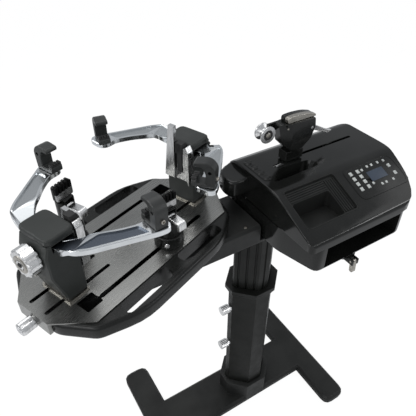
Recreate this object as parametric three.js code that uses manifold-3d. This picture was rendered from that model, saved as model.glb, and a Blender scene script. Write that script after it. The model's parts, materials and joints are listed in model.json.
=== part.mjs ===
// A floor-standing racket stringing machine, in millimetres with +Z up.
// The origin is on the floor, on the axis of the column. The turntable stands
// to the -X side of the column and the tension unit to its +X side.
import * as THREE from "three";
import { mergeVertices } from "three/addons/utils/BufferGeometryUtils.js";
import Module from "manifold-3d";

const wasm = await Module();
wasm.setup();

// Driving dimensions

const touch = 0.3; // gap kept between pieces that meet
const overrun = 2; // how far a cut runs past the face that it opens
const mergeStep = 0.0005; // points closer than this are one point
const cornerShare = 0.49; // the most of a side that one rounded corner takes
const leastFacing = 0.5; // keeps the inset of a sharp corner short

const stand = {
  headLevel: 960, // top of the deck above the floor
  deckGap: 112, // between the column's axis and the end of a deck turned towards it
  lineOffset: 15, // pulling line in front of the column axis
  restTurnDeg: 21.7, // the deck's angle to the pulling line as it is shown
};

const base = {
  spineStart: -400,
  spineEnd: 300,
  spineHalfWidth: 78,
  footHalfLength: 250,
  footHalfWidth: 46,
  thickness: 36,
  edge: 9,
  corner: 30,
  socketWall: 14,
  socketHeight: 70,
};

const column = {
  halfX: 79,
  halfY: 64,
  cut: 53, // how much of each side the octagon's corners take
  wall: 7,
  rimLevel: 603,
  collarHeight: 34,
  collarTaperShare: 0.6,
  collarFlare: 9,
  mastLength: 520,
  mastBore: 42,
  grooveWidth: 7,
  grooveDepth: 3.5,
  groovePitch: 21,
  grooveShares: [[-0.5, 0], [-0.3, 1], [0.3, 1], [0.5, 0]], // across its width and down its depth
  knobLevel: 505,
  stopKnobLevel: 325,
  knobRadius: 15,
  knobLength: 27,
  knobFluteDepth: 1.2,
  nutRadius: 11,
  nutLength: 7,
  stemRadius: 5,
};

const hub = {
  top: -50, // levels below the deck's top
  underside: -113,
  halfWidth: 80,
  pivotRadius: 78,
  beamEnd: -60,
  plateEnd: 150,
  edge: 6,
  bearingOuter: 42,
  bearingInner: 22,
  bearingDepth: 7,
  bearingStand: 3.6,
  flangeRadius: 60,
  spindleEnd: -119,
};

const deck = {
  halfWidth: 118,
  straightHalf: 209, // half length of the parallel sides
  endHalfWidth: 46,
  halfLength: 270,
  bendShare: 0.5, // how much of an inset moves the bend between side and flared end
  endBlock: 8,
  endDepth: 33,
  sheet: 3,
  lipDepth: 14,
  corner: 3,
  clampSlotAt: 77, // distance of the string clamps' slots from the centre line
  clampSlotHalf: 163,
  clampSlotWidth: 11,
  guideSlotAt: 24,
  guideSlotLength: 169,
  guideSlotMargin: 13, // between a guide slot and the deck's end
  guideSlotWidth: 9,
  entryLength: 39,
  entryMargin: 66, // between a clamp entry and the deck's end
  entryInner: 52,
  entryOuter: 88,
};

const pivotReach = deck.halfLength + stand.deckGap; // column axis to turntable pivot
const guideSlotEnd = deck.halfLength - deck.guideSlotMargin;
const guideSlotStart = guideSlotEnd - deck.guideSlotLength;
const entryEnd = deck.halfLength - deck.entryMargin;
const entryStart = entryEnd - deck.entryLength;

const frame = {
  bottom: -40,
  edge: 9,
  loopReach: 171,
  loopHalf: 130,
  loopEnd: 197,
  loopEndReach: 139,
  wrap: 15, // how far the moulded end stands outside the deck's flared edge
  wrapShares: [0.6, 0.7], // how much of it is left at the end and at the bend
  loopCorner: 65,
  openingStart: 19,
  openingEnd: 157,
  openingInner: 120,
  openingOuter: 153,
  openingCorner: 13,
  floor: 6,
  pocketWall: 12,
  bossHalfLength: 44,
  bossHalfWidth: 26,
  bossTop: -9,
};

const screw = {
  level: -21.5,
  radius: 6,
  innerEnd: 30,
  knobLength: 33,
  knobRadius: 14.5,
  knobNeck: 11,
  fluteDepth: 1.4,
};

const tower = {
  throatShift: 24, // how much further out the throat's tower stands than the tip's
  inner: 161.5, // distance of the inner face from the turntable's pivot
  footInner: 160,
  footOuter: 212,
  endGap: 58, // between the tip tower's foot and the deck's end
  footHalfWidth: 44,
  footTop: 5,
  halfWidth: 41.5,
  wall: 3.2,
  baseOuter: 208,
  bulge: 231.5,
  bulgeLow: 82,
  bulgeHigh: 134,
  shoulder: 224,
  capBottom: 157,
  capTop: 172,
  capReach: 1.6, // how far the cap stands past the sides
  capCorner: 15,
  capEdge: 5,
  edge: 3,
  windowInner: 164.6,
  windowOuter: 215.4,
};

const towerShift = deck.halfLength - tower.endGap - tower.footOuter;
const towerInner = tower.inner + towerShift;

const core = {
  inner: 168,
  outer: 200,
  halfWidth: 34,
  top: 139.7,
  channelInner: 176,
  channelOuter: 192,
  tongueInner: 174,
  tongueOuter: 194,
  tongueHalf: 3.4,
  nutHalfWidth: 29,
  nutTop: -9,
  nutBottom: -33,
  stubLevel: 84,
  stubRadius: 6,
  stubEnd: 241,
};

const knob = {
  blackRadius: 22,
  level: 122, // height of the tower knob's axis above the deck
  radius: 30,
  thickness: 27,
  fluteDepth: 3.2,
  hubRadius: 11,
  hubStand: 1.6,
  shaftRadius: 5,
  pinionRadius: 7,
  pinionTooth: 1.2,
  pinionWidth: 14,
};

const arm = {
  thickness: 12,
  rim: 5,
  recess: 3.5,
  level: 140,
  rise: 14, // how much the arm climbs from its root to its flat outer part
  riseStart: 60, // where the climb starts and ends, measured from the tower's middle
  riseEnd: 80,
  rackWidth: 6.4,
  rackHeight: 8,
  rackPast: 22,
  webInner: 17.5,
  webOuter: 25.5,
  headroom: 3,
  corner: 12,
  edge: 0.9,
  pocketFrom: 84,
  pocketSlopeShare: 0.6,
  pocketEnd: 17,
};

// The arm's outline seen from above, from the tower out to the claw and back: distance from the
// pivot and distance to the side
const armOutside = [
  [212, 17.5], [214, 58], [211, 82], [204, 94], [188, 109], [155, 129], [115, 153], [76, 177],
  [58, 183], [47, 175],
];
const armInside = [
  [44, 142], [58, 129], [82, 131], [116, 111], [146, 86], [160, 77], [173, 64], [173, 17.5],
];

const claw = {
  at: 64,
  width: 28,
  pinOut: 152, // distance of the claw's swivel pin from the centre line
  pinRadius: 5,
  tipTurnDeg: [14, 0], // how far each claw is turned towards its end, near side and far side
  throatTurnDeg: [20, 30],
  inner: 125,
  outer: 175,
  bulge: 2,
  footThickness: 8,
  earThickness: 19,
  top: 226,
  crown: 160,
  shoulder: 211,
  hook: 130,
  hookThickness: 13,
  postThickness: 12,
  postHeight: 14,
  eyeRadius: 4,
  eyeAt: 165,
  eyeLevel: 203,
  edge: 1.6,
  corner: 3.2,
  heelCorner: 4.8,
  padHeight: 6,
  padRibs: 4,
};

const rest = {
  flangeThickness: 3.4,
  flangeBottom: 66,
  flangeTop: 112,
  barInner: 138,
  barOuter: 148,
  barBottom: 80,
  barLow: [-27, 3], // how wide the bar is at its bottom and top, towards the near side
  barHigh: [-11, 5],
  tipBarTop: 176,
  throatBarTop: 218,
  strutTop: 100,
  bracket: [26, 42],
  bracketInner: 143,
  bracketTop: 172,
  padInner: 140,
  pad: [6, 25],
  padBottom: 150,
  padTop: 177,
  postHalf: 7,
  ribs: 5,
};

const clamp = {
  nearGap: 137.5, // between the near clamp's axis and the throat tower's inner face
  farGap: 66.5, // between the far clamp's axis and the tip tower's inner face
  nearDrop: 45, // how far the near clamp's head is let down into its body, as it is shown
  nearTurnDeg: -100,
  farTurnDeg: 277,
  baseRadius: 34,
  baseHeight: 30,
  footThickness: 5,
  footWidth: 24,
  footLength: 34,
  neckWidth: 10,
  buttonRadius: 6,
  buttonStand: 2.4,
  studTurnDeg: -145,
  pinRadius: 8,
  bodyRadius: 29,
  bodyTop: 68,
  waistRadius: 20,
  waistTop: 137,
  neckHalfWidth: 12,
  jawThickness: 6,
  jawHalfWidth: 22,
  jawBottom: 141,
  jawTop: 176,
  jawCorner: 4,
  toothCount: 5,
  toothGap: 3.2,
  toothDepth: 18,
  jawOpening: 1.2,
  leverLevel: 123,
  leverAt: 10.2, // how far the lever's pin lies from the clamp's axis
  leverGapFrom: 3.4,
  leverLength: 42,
  leverWidth: 20,
  leverThickness: 7,
  leverTip: 16, // how far the lever's curved tip hangs down
  leverEye: 6.3,
  leverPinHalf: 12.7,
  leverPin: 3.5,
  earGap: 8,
};

const unit = {
  left: -52,
  right: 353,
  front: -250,
  back: 93,
  noseLeft: -108,
  noseFront: -6,
  noseBottom: 3,
  noseTop: 52,
  top: 66,
  crestY: -106,
  slopeFootY: -236,
  slopeFoot: 11,
  frontLip: -19,
  backTop: 48,
  wall: 3,
  seam: -20,
  rightFrontX: 287,
  rightMidY: -60,
  rightMidFrontX: 330,
  rightMidFrontY: -190,
  corner: 16,
  ridge: 5,
  frontRise: 2.2,
  crownBack: 67,
  hipY: 56, // where the right side and the nose start to narrow towards the back
  noseBack: 65,
  profileShares: [0, 0.6, 1.4, 1, 1.3, 1, 0], // corner radii from the front seam to the back
  planShares: [1, 2, 3, 3, 2, 2, 1], // corner radii seen from above, from the left front
  noseShares: [0, 1.6, 3, 0],
  bottom: -99,
  bottomEdge: 10,
  lowerRight: 330,
  lowerLeftFrontX: -20,
  lowerLeftFrontY: -132,
  storageLeft: 6,
  storageRight: 256,
  storageBottom: -91,
  storageTop: -27,
  storageBack: -120,
};

const slot = {
  start: 48,
  end: 300,
  width: 9,
  leverSlotStart: 20,
  leverSlotEnd: 50,
  leverSlotFront: -19,
  leverSlotBack: -7,
  leverSlotCorner: 1.5,
  leverX: 35,
  leverY: -15.5,
  leverPivot: 40, // level of the release lever's pivot inside the case
  leverEye: 4,
  leverPin: 2,
  leverStem: 5,
  leverWidth: 4.6,
  tabLength: 22,
  tabThickness: 3,
  tabStand: 0.6,
  valleyTop: [[-32, -71], [131, -66], [121, -32], [22, -25]],
  valleyBottom: [[14, -62], [108, -62], [104, -38], [34, -34]],
  valleyCorner: 22,
  valleyFloor: 28,
};

const tray = {
  left: -33,
  right: 130,
  back: -109,
  front: -213,
  depth: 7,
  pocketLeft: -27,
  pocketRight: 90,
  pocketBack: -141,
  pocketFront: -208,
  pocketDepth: 26,
  corner: 8,
  wall: 2.5,
  ribCount: 5,
  ribShare: 0.25, // how far into its pitch a rib stands
  ribWidth: 3,
  ribHeight: 2.2,
};

const panel = {
  left: 153,
  right: 326,
  back: -114,
  front: -203,
  thickness: 3,
  stand: 1.2,
  corner: 18,
  windowLeft: 218,
  windowRight: 275,
  windowBack: -141,
  windowFront: -169,
  keyHalf: 4.6,
  smallKeyHalf: 3,
  keyStand: 1.3,
  matThickness: 1.6,
  matMargin: 9,
  fieldMargin: 5.4,
  fieldDepth: 0.9,
  displayStand: 0.6,
  columnShares: [0.115, 0.255], // the key pad's two columns across the panel
  rowShares: [0.2, 0.365, 0.53, 0.695], // and its rows down the panel
  smallShares: [
    [0.34, 0.2], [0.365, 0.66], [0.465, 0.16], [0.56, 0.16], [0.69, 0.16], [0.81, 0.17],
    [0.735, 0.77], [0.585, 0.77], [0.5, 0.77],
  ],
  rightShares: [[0.835, 0.36], [0.85, 0.62]],
};

const grip = {
  restX: 82, // the gripper's place on the slot as it is shown
  neckHalfLength: 28,
  neckHalfWidth: 4.2,
  neckWide: 17,
  neckBottom: 72,
  carriageHalfLength: 30,
  carriageHalfWidth: 26,
  carriageBottom: -4,
  carriageTop: 20,
  bodyLeft: 53, // how far the body reaches to the left and right of the carriage
  bodyRight: 57,
  bodyHalfWidth: 20,
  bodyBottom: 97,
  bodyTop: 178,
  bodyWaist: 125,
  bodyWaistIn: 10,
  bodyShoulder: 152,
  bodyFlatStart: 15,
  bodyFlatEnd: 17,
  bodyFlank: 46,
  noseCut: 15, // how far the body's front narrows towards the pulley
  jawHeight: 17,
  jawTipHeight: 6,
  jawShares: [0.85, 0.9], // height of the bars halfway along and at the pulley's end
  jawHalfWidth: 6.5,
  jawGap: 2.4,
  jawLeft: 34, // how far the bars reach to the left of the carriage
  jawRight: 60,
  pulleyOut: 92,
  pulleyLevel: 165,
  pulleyRadius: 22,
  pulleyWaist: 12,
  pulleyHalfWidth: 14,
  pulleyBore: 5,
  pulleySlope: 1.8,
  pulleyShares: [0.78, 0.3], // where the groove starts and where its floor does
  armThickness: 6,
  wingAt: 44,
  wingLevel: 152,
  wingHub: 11,
  wingPin: 4,
  wingLength: 90,
  wingDrop: 42,
  wingTip: 8,
  wingThickness: 9,
  wingGapTop: 21,
  wingBendShare: 0.85, // where the blade's lower edge bends, as a share of its length
  wingHeelShare: 0.8, // and its upper edge
  wingTipShares: [0.4, 0.3, 0.5], // depth, rise and corner of the tip as shares of its size
  wingRootShare: 0.6,
};

const guide = {
  earHalf: 5, // ears on the left block that carry the release lever's pin
  earThickness: 3,
  rodRadius: 6,
  rodAt: 17,
  rodLevel: 8,
  blockThickness: 12,
  blockHalfWidth: 30,
  blockHeight: 26,
  start: 30,
  end: 296,
  screwRadius: 4.5,
  motorRadius: 24,
  motorLength: 52,
  motorFootHalf: 17,
  motorFootHeight: 10,
};

const under = {
  x: 108,
  y: -205,
  radius: 37,
  height: 17,
  rimHeight: 6,
  leverWidth: 12,
  leverLength: 34,
  pinRadius: 3,
  earThickness: 4,
  earReach: 8,
  earRoot: 22,
  hookShares: [1.6, 0.2, 0.8], // hook, tip and corner as shares of half the lever's width
};

const button = {
  x: -28,
  firstY: 34,
  pitch: 26.5,
  count: 4,
  radius: 9,
  crownRadius: 6.75,
  crownStand: 1.8,
  stand: 2.2,
  stripHalf: 12,
  stripThickness: 1.8,
};

const colours = {
  gloss: new THREE.MeshStandardMaterial({ color: 0x0c0d0e, roughness: 0.16, metalness: 0 }),
  moulded: new THREE.MeshStandardMaterial({ color: 0x2b2d2d, roughness: 0.5, metalness: 0 }),
  tray: new THREE.MeshStandardMaterial({ color: 0x141516, roughness: 0.42, metalness: 0 }),
  cover: new THREE.MeshStandardMaterial({ color: 0x3b3e3d, roughness: 0.55, metalness: 0 }),
  painted: new THREE.MeshStandardMaterial({ color: 0x1c1d1e, roughness: 0.42, metalness: 0.2 }),
  column: new THREE.MeshStandardMaterial({ color: 0x252726, roughness: 0.5, metalness: 0.2 }),
  brushed: new THREE.MeshStandardMaterial({ color: 0xa9a8a3, roughness: 0.34, metalness: 1 }),
  polished: new THREE.MeshStandardMaterial({ color: 0xd9dadb, roughness: 0.18, metalness: 1 }),
  silver: new THREE.MeshStandardMaterial({ color: 0xc9cacb, roughness: 0.3, metalness: 0.9 }),
  steel: new THREE.MeshStandardMaterial({ color: 0x9a9894, roughness: 0.3, metalness: 1 }),
  charcoal: new THREE.MeshStandardMaterial({ color: 0x303234, roughness: 0.55, metalness: 0 }),
  key: new THREE.MeshStandardMaterial({ color: 0xb4b6b4, roughness: 0.6, metalness: 0 }),
  display: new THREE.MeshStandardMaterial({ color: 0x5b6f93, roughness: 0.2, metalness: 0 }),
};

// Shapes as closed solids

function solid(geometry) {
  const bare = geometry.index ? geometry.toNonIndexed() : geometry.clone();
  for (const name of Object.keys(bare.attributes)) {
    if (name !== "position") {
      bare.deleteAttribute(name);
    }
  }
  const merged = mergeVertices(bare, mergeStep);
  const place = merged.getAttribute("position");
  const corner = merged.index.array;
  const kept = [];
  let volume = 0;
  const [p, q, r] = [new THREE.Vector3(), new THREE.Vector3(), new THREE.Vector3()];
  for (let i = 0; i < corner.length; i += 3) {
    const [a, b, c] = [corner[i], corner[i + 1], corner[i + 2]];
    if (a !== b && b !== c && c !== a) {
      kept.push(a, b, c);
      p.fromBufferAttribute(place, a);
      q.fromBufferAttribute(place, b);
      r.fromBufferAttribute(place, c);
      volume += p.dot(q.cross(r));
    }
  }
  if (volume < 0) {
    kept.reverse();
  }
  return new wasm.Manifold(new wasm.Mesh({
    numProp: 3,
    vertProperties: new Float32Array(place.array),
    triVerts: new Uint32Array(kept),
  }));
}

function meshGeometry(shape) {
  const mesh = shape.getMesh();
  const geometry = new THREE.BufferGeometry();
  const places = [];
  for (let i = 0; i < mesh.vertProperties.length; i += mesh.numProp) {
    places.push(...mesh.vertProperties.slice(i, i + 3));
  }
  geometry.setAttribute("position", new THREE.Float32BufferAttribute(places, 3));
  geometry.setIndex(Array.from(mesh.triVerts));
  const faceted = geometry.toNonIndexed();
  faceted.computeVertexNormals();
  return faceted;
}

function join(...shapes) {
  return shapes.reduce((whole, shape) => whole.add(shape));
}

function cut(shape, ...tools) {
  return tools.reduce((left, tool) => left.subtract(tool), shape);
}

function block(x0, x1, y0, y1, z0, z1) {
  const geometry = new THREE.BoxGeometry(x1 - x0, y1 - y0, z1 - z0);
  geometry.translate((x0 + x1) / 2, (y0 + y1) / 2, (z0 + z1) / 2);
  return solid(geometry);
}

// The step inward at each corner of a ring of points that moves its sides in by one unit
function insets(ring) {
  return ring.map((point, i) => {
    const before = point.clone().sub(ring[(i + ring.length - 1) % ring.length]).normalize();
    const after = ring[(i + 1) % ring.length].clone().sub(point).normalize();
    const facing = 1 + before.dot(after);
    const inward = new THREE.Vector2(-before.y - after.y, before.x + after.x);
    return inward.divideScalar(Math.max(facing, leastFacing));
  });
}

// A straight-sided plate on an outline in XY, with its edges rounded by edge
function plate(shape, z0, z1, edge = 0, steps = 1, curve = 3) {
  const ring = shape.extractPoints(curve).shape;
  if (ring[0].distanceTo(ring[ring.length - 1]) < mergeStep) {
    ring.pop();
  }
  if (THREE.ShapeUtils.isClockWise(ring)) {
    ring.reverse();
  }
  const inward = insets(ring);
  const layers = [];
  const levels = edge > 0 ? steps : 0;
  for (let k = 0; k <= levels; k += 1) {
    const angle = levels > 0 ? (k / levels) * Math.PI / 2 : Math.PI / 2;
    layers.push([edge * (1 - Math.sin(angle)), edge * (1 - Math.cos(angle))]);
  }
  const rings = [
    ...layers.map(([inset, rise]) => [inset, z0 + rise]),
    ...layers.slice().reverse().map(([inset, rise]) => [inset, z1 - rise]),
  ];
  const at = (layer, i) => {
    const k = (i + ring.length) % ring.length;
    const p = ring[k].clone().addScaledVector(inward[k], rings[layer][0]);
    return [p.x, p.y, rings[layer][1]];
  };
  const places = [];
  for (let layer = 0; layer < rings.length - 1; layer += 1) {
    for (let i = 0; i < ring.length; i += 1) {
      places.push(...at(layer, i), ...at(layer, i + 1), ...at(layer + 1, i + 1));
      places.push(...at(layer, i), ...at(layer + 1, i + 1), ...at(layer + 1, i));
    }
  }
  for (const [a, b, c] of THREE.ShapeUtils.triangulateShape(ring, [])) {
    places.push(...at(0, a), ...at(0, c), ...at(0, b));
    places.push(...at(rings.length - 1, a), ...at(rings.length - 1, b));
    places.push(...at(rings.length - 1, c));
  }
  const geometry = new THREE.BufferGeometry();
  geometry.setAttribute("position", new THREE.Float32BufferAttribute(places, 3));
  return solid(geometry);
}

// The same plate standing up: its outline's x and y become Y and Z, and it runs along X
function slab(outline, x0, x1, edge = 0, steps = 1, curve = 3) {
  const flat = plate(outline, x0, x1, edge, steps, curve);
  return flat.transform([0, 1, 0, 0, 0, 0, 1, 0, 1, 0, 0, 0, 0, 0, 0, 1]);
}

// The same plate with its outline's x and y as X and Z, running along Y
function wall(outline, y0, y1, edge = 0, steps = 1) {
  const flat = plate(outline, -y1, -y0, edge, steps);
  return flat.transform([1, 0, 0, 0, 0, 0, 1, 0, 0, -1, 0, 0, 0, 0, 0, 1]);
}

function rounded(points, radius) {
  const corners = points.map((p) => new THREE.Vector2(p[0], p[1]));
  const radii = Array.isArray(radius) ? radius : points.map(() => radius);
  const shape = new THREE.Shape();
  corners.forEach((corner, i) => {
    const before = corners[(i + corners.length - 1) % corners.length];
    const after = corners[(i + 1) % corners.length];
    const inward = before.clone().sub(corner);
    const onward = after.clone().sub(corner);
    const room = Math.min(inward.length(), onward.length()) * cornerShare;
    const reach = Math.min(radii[i], room);
    const start = corner.clone().add(inward.setLength(reach));
    const end = corner.clone().add(onward.setLength(reach));
    if (i === 0) {
      shape.moveTo(start.x, start.y);
    } else {
      shape.lineTo(start.x, start.y);
    }
    if (reach > 0) {
      shape.quadraticCurveTo(corner.x, corner.y, end.x, end.y);
    }
  });
  shape.closePath();
  return shape;
}

function outline(points) {
  return new THREE.Shape(points.map((p) => new THREE.Vector2(p[0], p[1])));
}

function roundedBox(x0, x1, y0, y1, radius) {
  return rounded([[x0, y0], [x1, y0], [x1, y1], [x0, y1]], radius);
}

// A turned piece: radius and height pairs round the Z axis
function turned(profile, sides = 20) {
  const points = profile.map((p) => new THREE.Vector2(p[0], p[1]));
  const geometry = new THREE.LatheGeometry(points, sides);
  geometry.rotateX(Math.PI / 2);
  return solid(geometry);
}

function rod(radius, z0, z1, sides = 12) {
  return turned([[0, z0], [radius, z0], [radius, z1], [0, z1]], sides);
}

function ring(inner, outer, z0, z1, sides = 24) {
  return turned([[inner, z0], [outer, z0], [outer, z1], [inner, z1], [inner, z0]], sides);
}

function fluted(radius, depth, count, z0, z1, edge = 0) {
  const points = [];
  for (let i = 0; i < count * 3; i += 1) {
    const angle = (i / (count * 3)) * Math.PI * 2;
    const reach = i % 3 === 0 ? radius - depth : radius;
    points.push([reach * Math.cos(angle), reach * Math.sin(angle)]);
  }
  return plate(outline(points), z0, z1, edge);
}

const alongX = (shape, x = 0, y = 0, z = 0) => shape.rotate([0, 90, 0]).translate([x, y, z]);
const alongY = (shape, x = 0, y = 0, z = 0) => shape.rotate([-90, 0, 0]).translate([x, y, z]);

// A shape between two outlines with as many points each, at two heights
function taper(low, zLow, high, zHigh) {
  const places = [];
  const count = low.length;
  const put = (p, z) => places.push(p[0], p[1], z);
  for (let i = 0; i < count; i += 1) {
    const j = (i + 1) % count;
    put(low[i], zLow);
    put(low[j], zLow);
    put(high[j], zHigh);
    put(low[i], zLow);
    put(high[j], zHigh);
    put(high[i], zHigh);
  }
  for (let i = 1; i < count - 1; i += 1) {
    put(low[0], zLow);
    put(low[i + 1], zLow);
    put(low[i], zLow);
    put(high[0], zHigh);
    put(high[i], zHigh);
    put(high[i + 1], zHigh);
  }
  const geometry = new THREE.BufferGeometry();
  geometry.setAttribute("position", new THREE.Float32BufferAttribute(places, 3));
  return solid(geometry);
}

function octagon(halfX, halfY, corner) {
  return [
    [halfX, -halfY + corner], [halfX, halfY - corner],
    [halfX - corner, halfY], [-halfX + corner, halfY],
    [-halfX, halfY - corner], [-halfX, -halfY + corner],
    [-halfX + corner, -halfY], [halfX - corner, -halfY],
  ];
}

const machine = new THREE.Group();

function add(name, shape, material, group = machine) {
  const mesh = new THREE.Mesh(meshGeometry(shape), material);
  mesh.name = name;
  group.add(mesh);
  return mesh;
}

// Stand: the cast base, the octagonal sleeve and the grooved mast that slides in it

function baseCasting() {
  const foot = (x) => roundedBox(x - base.footHalfWidth, x + base.footHalfWidth,
    -base.footHalfLength, base.footHalfLength, base.corner);
  const spine = roundedBox(base.spineStart, base.spineEnd,
    -base.spineHalfWidth, base.spineHalfWidth, base.corner);
  const body = join(
    plate(spine, 0, base.thickness, base.edge),
    plate(foot(base.spineStart + base.footHalfWidth), 0, base.thickness, base.edge),
    plate(foot(base.spineEnd - base.footHalfWidth), 0, base.thickness, base.edge),
  );
  const wide = base.socketWall;
  const socket = octagon(column.halfX + wide, column.halfY + wide, column.cut);
  const pocket = octagon(column.halfX + touch, column.halfY + touch, column.cut);
  const top = base.thickness + base.socketHeight;
  return cut(
    join(body, plate(outline(socket), base.edge, top)),
    plate(outline(pocket), base.thickness, top + overrun),
  );
}

function columnSleeve() {
  const outer = octagon(column.halfX, column.halfY, column.cut);
  const inner = octagon(column.halfX - column.wall, column.halfY - column.wall, column.cut);
  const flare = column.collarFlare;
  const rim = octagon(column.halfX + flare, column.halfY + flare, column.cut);
  const bottom = base.thickness + touch;
  const collarStart = column.rimLevel - column.collarHeight;
  const collarMid = collarStart + column.collarHeight * column.collarTaperShare;
  const stem = column.stemRadius + touch;
  const hole = (z) => alongX(rod(stem, -column.halfX - overrun, -column.halfX / 2), 0, 0, z);
  return cut(
    join(
      plate(outline(outer), bottom, collarMid),
      taper(outer, collarStart, rim, collarMid),
      plate(outline(rim), collarMid, column.rimLevel),
    ),
    plate(outline(inner), bottom - overrun, column.rimLevel + overrun),
    hole(column.knobLevel),
    hole(column.stopKnobLevel),
  );
}

// The octagon of the mast with grooves cut along its wide faces
function groovedOctagon() {
  const inset = column.wall + touch;
  const corners = octagon(column.halfX - inset, column.halfY - inset, column.cut);
  const points = [];
  corners.forEach((start, i) => {
    const end = corners[(i + 1) % corners.length];
    const side = new THREE.Vector2(end[0] - start[0], end[1] - start[1]);
    const length = side.length();
    const along = side.clone().normalize();
    const inward = new THREE.Vector2(-along.y, along.x);
    points.push(start);
    const count = Math.floor(length / column.groovePitch);
    for (let k = 0; k < count; k += 1) {
      const middle = (length * (k + 0.5)) / count;
      for (const [across, deep] of column.grooveShares) {
        const s = middle + across * column.grooveWidth;
        const d = deep * column.grooveDepth;
        points.push([
          start[0] + along.x * s + inward.x * d,
          start[1] + along.y * s + inward.y * d,
        ]);
      }
    }
  });
  return points;
}

function columnMast() {
  const shape = outline(groovedOctagon());
  const top = stand.headLevel + hub.underside - touch;
  const bore = octagon(column.mastBore, column.mastBore, column.mastBore / 2);
  return cut(
    plate(shape, top - column.mastLength, top),
    plate(outline(bore), top - column.mastLength - overrun, top + overrun),
  );
}

function columnKnob() {
  const face = -column.halfX - touch;
  const nut = face - column.nutLength;
  const end = nut - column.knobLength;
  const inside = -column.halfX + column.wall;
  const shape = join(
    rod(column.stemRadius, nut - overrun, inside),
    fluted(column.nutRadius, 0, 6, nut, face),
    fluted(column.knobRadius, column.knobFluteDepth, 12, end, nut + touch, touch),
  );
  return alongX(shape);
}

add("base_casting", baseCasting(), colours.painted);
add("column_sleeve", columnSleeve(), colours.column);
add("column_mast", columnMast(), colours.painted);
add("height_lock_knob", columnKnob(), colours.silver).position.z = column.knobLevel;
add("travel_stop_knob", columnKnob(), colours.silver).position.z = column.stopKnobLevel;

// Head casting, which joins the mast, the turntable and the tension unit

const head = new THREE.Group();
head.position.set(0, -stand.lineOffset, stand.headLevel);
machine.add(head);

function headCasting() {
  const far = -pivotReach;
  const beam = rounded([
    [far - hub.pivotRadius, -hub.pivotRadius], [hub.plateEnd, -hub.halfWidth],
    [hub.plateEnd, hub.halfWidth], [far - hub.pivotRadius, hub.pivotRadius],
  ], [hub.pivotRadius, 2 * hub.edge, 2 * hub.edge, hub.pivotRadius]);
  return cut(
    plate(beam, hub.underside, hub.top, hub.edge),
    block(hub.beamEnd, hub.plateEnd + overrun, -hub.halfWidth - overrun,
      hub.halfWidth + overrun, unit.bottom - touch, hub.top + overrun),
    rod(hub.bearingInner + touch, hub.underside - overrun, hub.top + overrun, 28)
      .translate([far, 0, 0]),
    rod(hub.bearingOuter + touch, hub.top + hub.bearingStand - hub.bearingDepth - touch,
      hub.top + overrun, 24).translate([far, 0, 0]),
  );
}

const bearingTop = hub.top + hub.bearingStand;
add("head_casting", headCasting(), colours.painted, head);
add("pivot_bearing", ring(hub.bearingInner, hub.bearingOuter, bearingTop - hub.bearingDepth,
  bearingTop), colours.steel, head).position.x = -pivotReach;

// Turntable: everything here turns about the pivot

const turntable = new THREE.Group();
turntable.position.x = -pivotReach;
turntable.rotation.z = THREE.MathUtils.degToRad(stand.restTurnDeg);
head.add(turntable);

function pivotSpindle() {
  const shaft = hub.bearingInner - touch;
  const top = frame.bottom - touch;
  const under = bearingTop + touch;
  const profile = [
    [0, hub.spindleEnd], [shaft, hub.spindleEnd], [shaft, under],
    [hub.flangeRadius, under], [hub.flangeRadius, top], [0, top],
  ];
  return turned(profile, 28);
}

// Four quarters of an outline that is the same on both sides and both ends
function fourfold(quarter) {
  const first = quarter;
  const second = quarter.map((p) => [-p[0], p[1]]).reverse();
  const third = quarter.map((p) => [-p[0], -p[1]]);
  const fourth = quarter.map((p) => [p[0], -p[1]]).reverse();
  return [...first, ...second, ...third, ...fourth];
}

function deckQuarter(inset, endAt) {
  return [
    [endAt, deck.endHalfWidth - inset],
    [deck.straightHalf - inset * deck.bendShare, deck.halfWidth - inset],
  ];
}

function deckFrame() {
  const flare = frame.wrap;
  const endInner = deck.halfLength - deck.endBlock - touch;
  const quarter = [
    [endInner, deck.endHalfWidth + flare * frame.wrapShares[0]],
    [deck.straightHalf + flare * frame.wrapShares[1],
      deck.halfWidth + flare * frame.wrapShares[1]],
    [frame.loopEnd, frame.loopEndReach],
    [frame.loopHalf, frame.loopReach],
  ];
  const radii = [flare, flare, flare * 2, frame.loopCorner];
  const allRadii = [...radii, ...radii.slice().reverse(), ...radii, ...radii.slice().reverse()];
  const top = -deck.sheet - touch;
  const body = plate(rounded(fourfold(quarter), allRadii), frame.bottom, top, frame.edge, 3);
  const floor = frame.bottom + frame.floor;
  const pocket = plate(
    rounded(fourfold(deckQuarter(frame.pocketWall, deck.halfLength - deck.endBlock - frame.pocketWall)),
      frame.pocketWall), floor, top + overrun);
  const boss = plate(roundedBox(-frame.bossHalfLength, frame.bossHalfLength,
    -frame.bossHalfWidth, frame.bossHalfWidth, frame.wrap), floor - overrun, frame.bossTop);
  const holes = [];
  for (const end of [-1, 1]) {
    for (const side of [-1, 1]) {
      const [x0, x1] = [frame.openingStart, frame.openingEnd].map((v) => v * end);
      const [y0, y1] = [frame.openingInner, frame.openingOuter].map((v) => v * side);
      holes.push(plate(roundedBox(Math.min(x0, x1), Math.max(x0, x1), Math.min(y0, y1),
        Math.max(y0, y1), frame.openingCorner), frame.bottom - overrun, top + overrun));
    }
  }
  const bore = screw.radius + touch;
  const screwHole = alongX(rod(bore, -deck.halfLength, deck.halfLength), 0, 0, screw.level);
  const lip = [];
  for (const side of [-1, 1]) {
    const inner = (deck.halfWidth - deck.sheet - touch) * side;
    const outer = (deck.halfWidth + touch) * side;
    lip.push(block(-deck.straightHalf, deck.straightHalf, Math.min(inner, outer),
      Math.max(inner, outer), -deck.lipDepth - touch, top + overrun));
  }
  return cut(join(cut(body, pocket), boss), ...holes, ...lip, screwHole);
}

function slotShape(x0, x1, y, width) {
  return roundedBox(x0, x1, y - width / 2, y + width / 2, width / 2);
}

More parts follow.
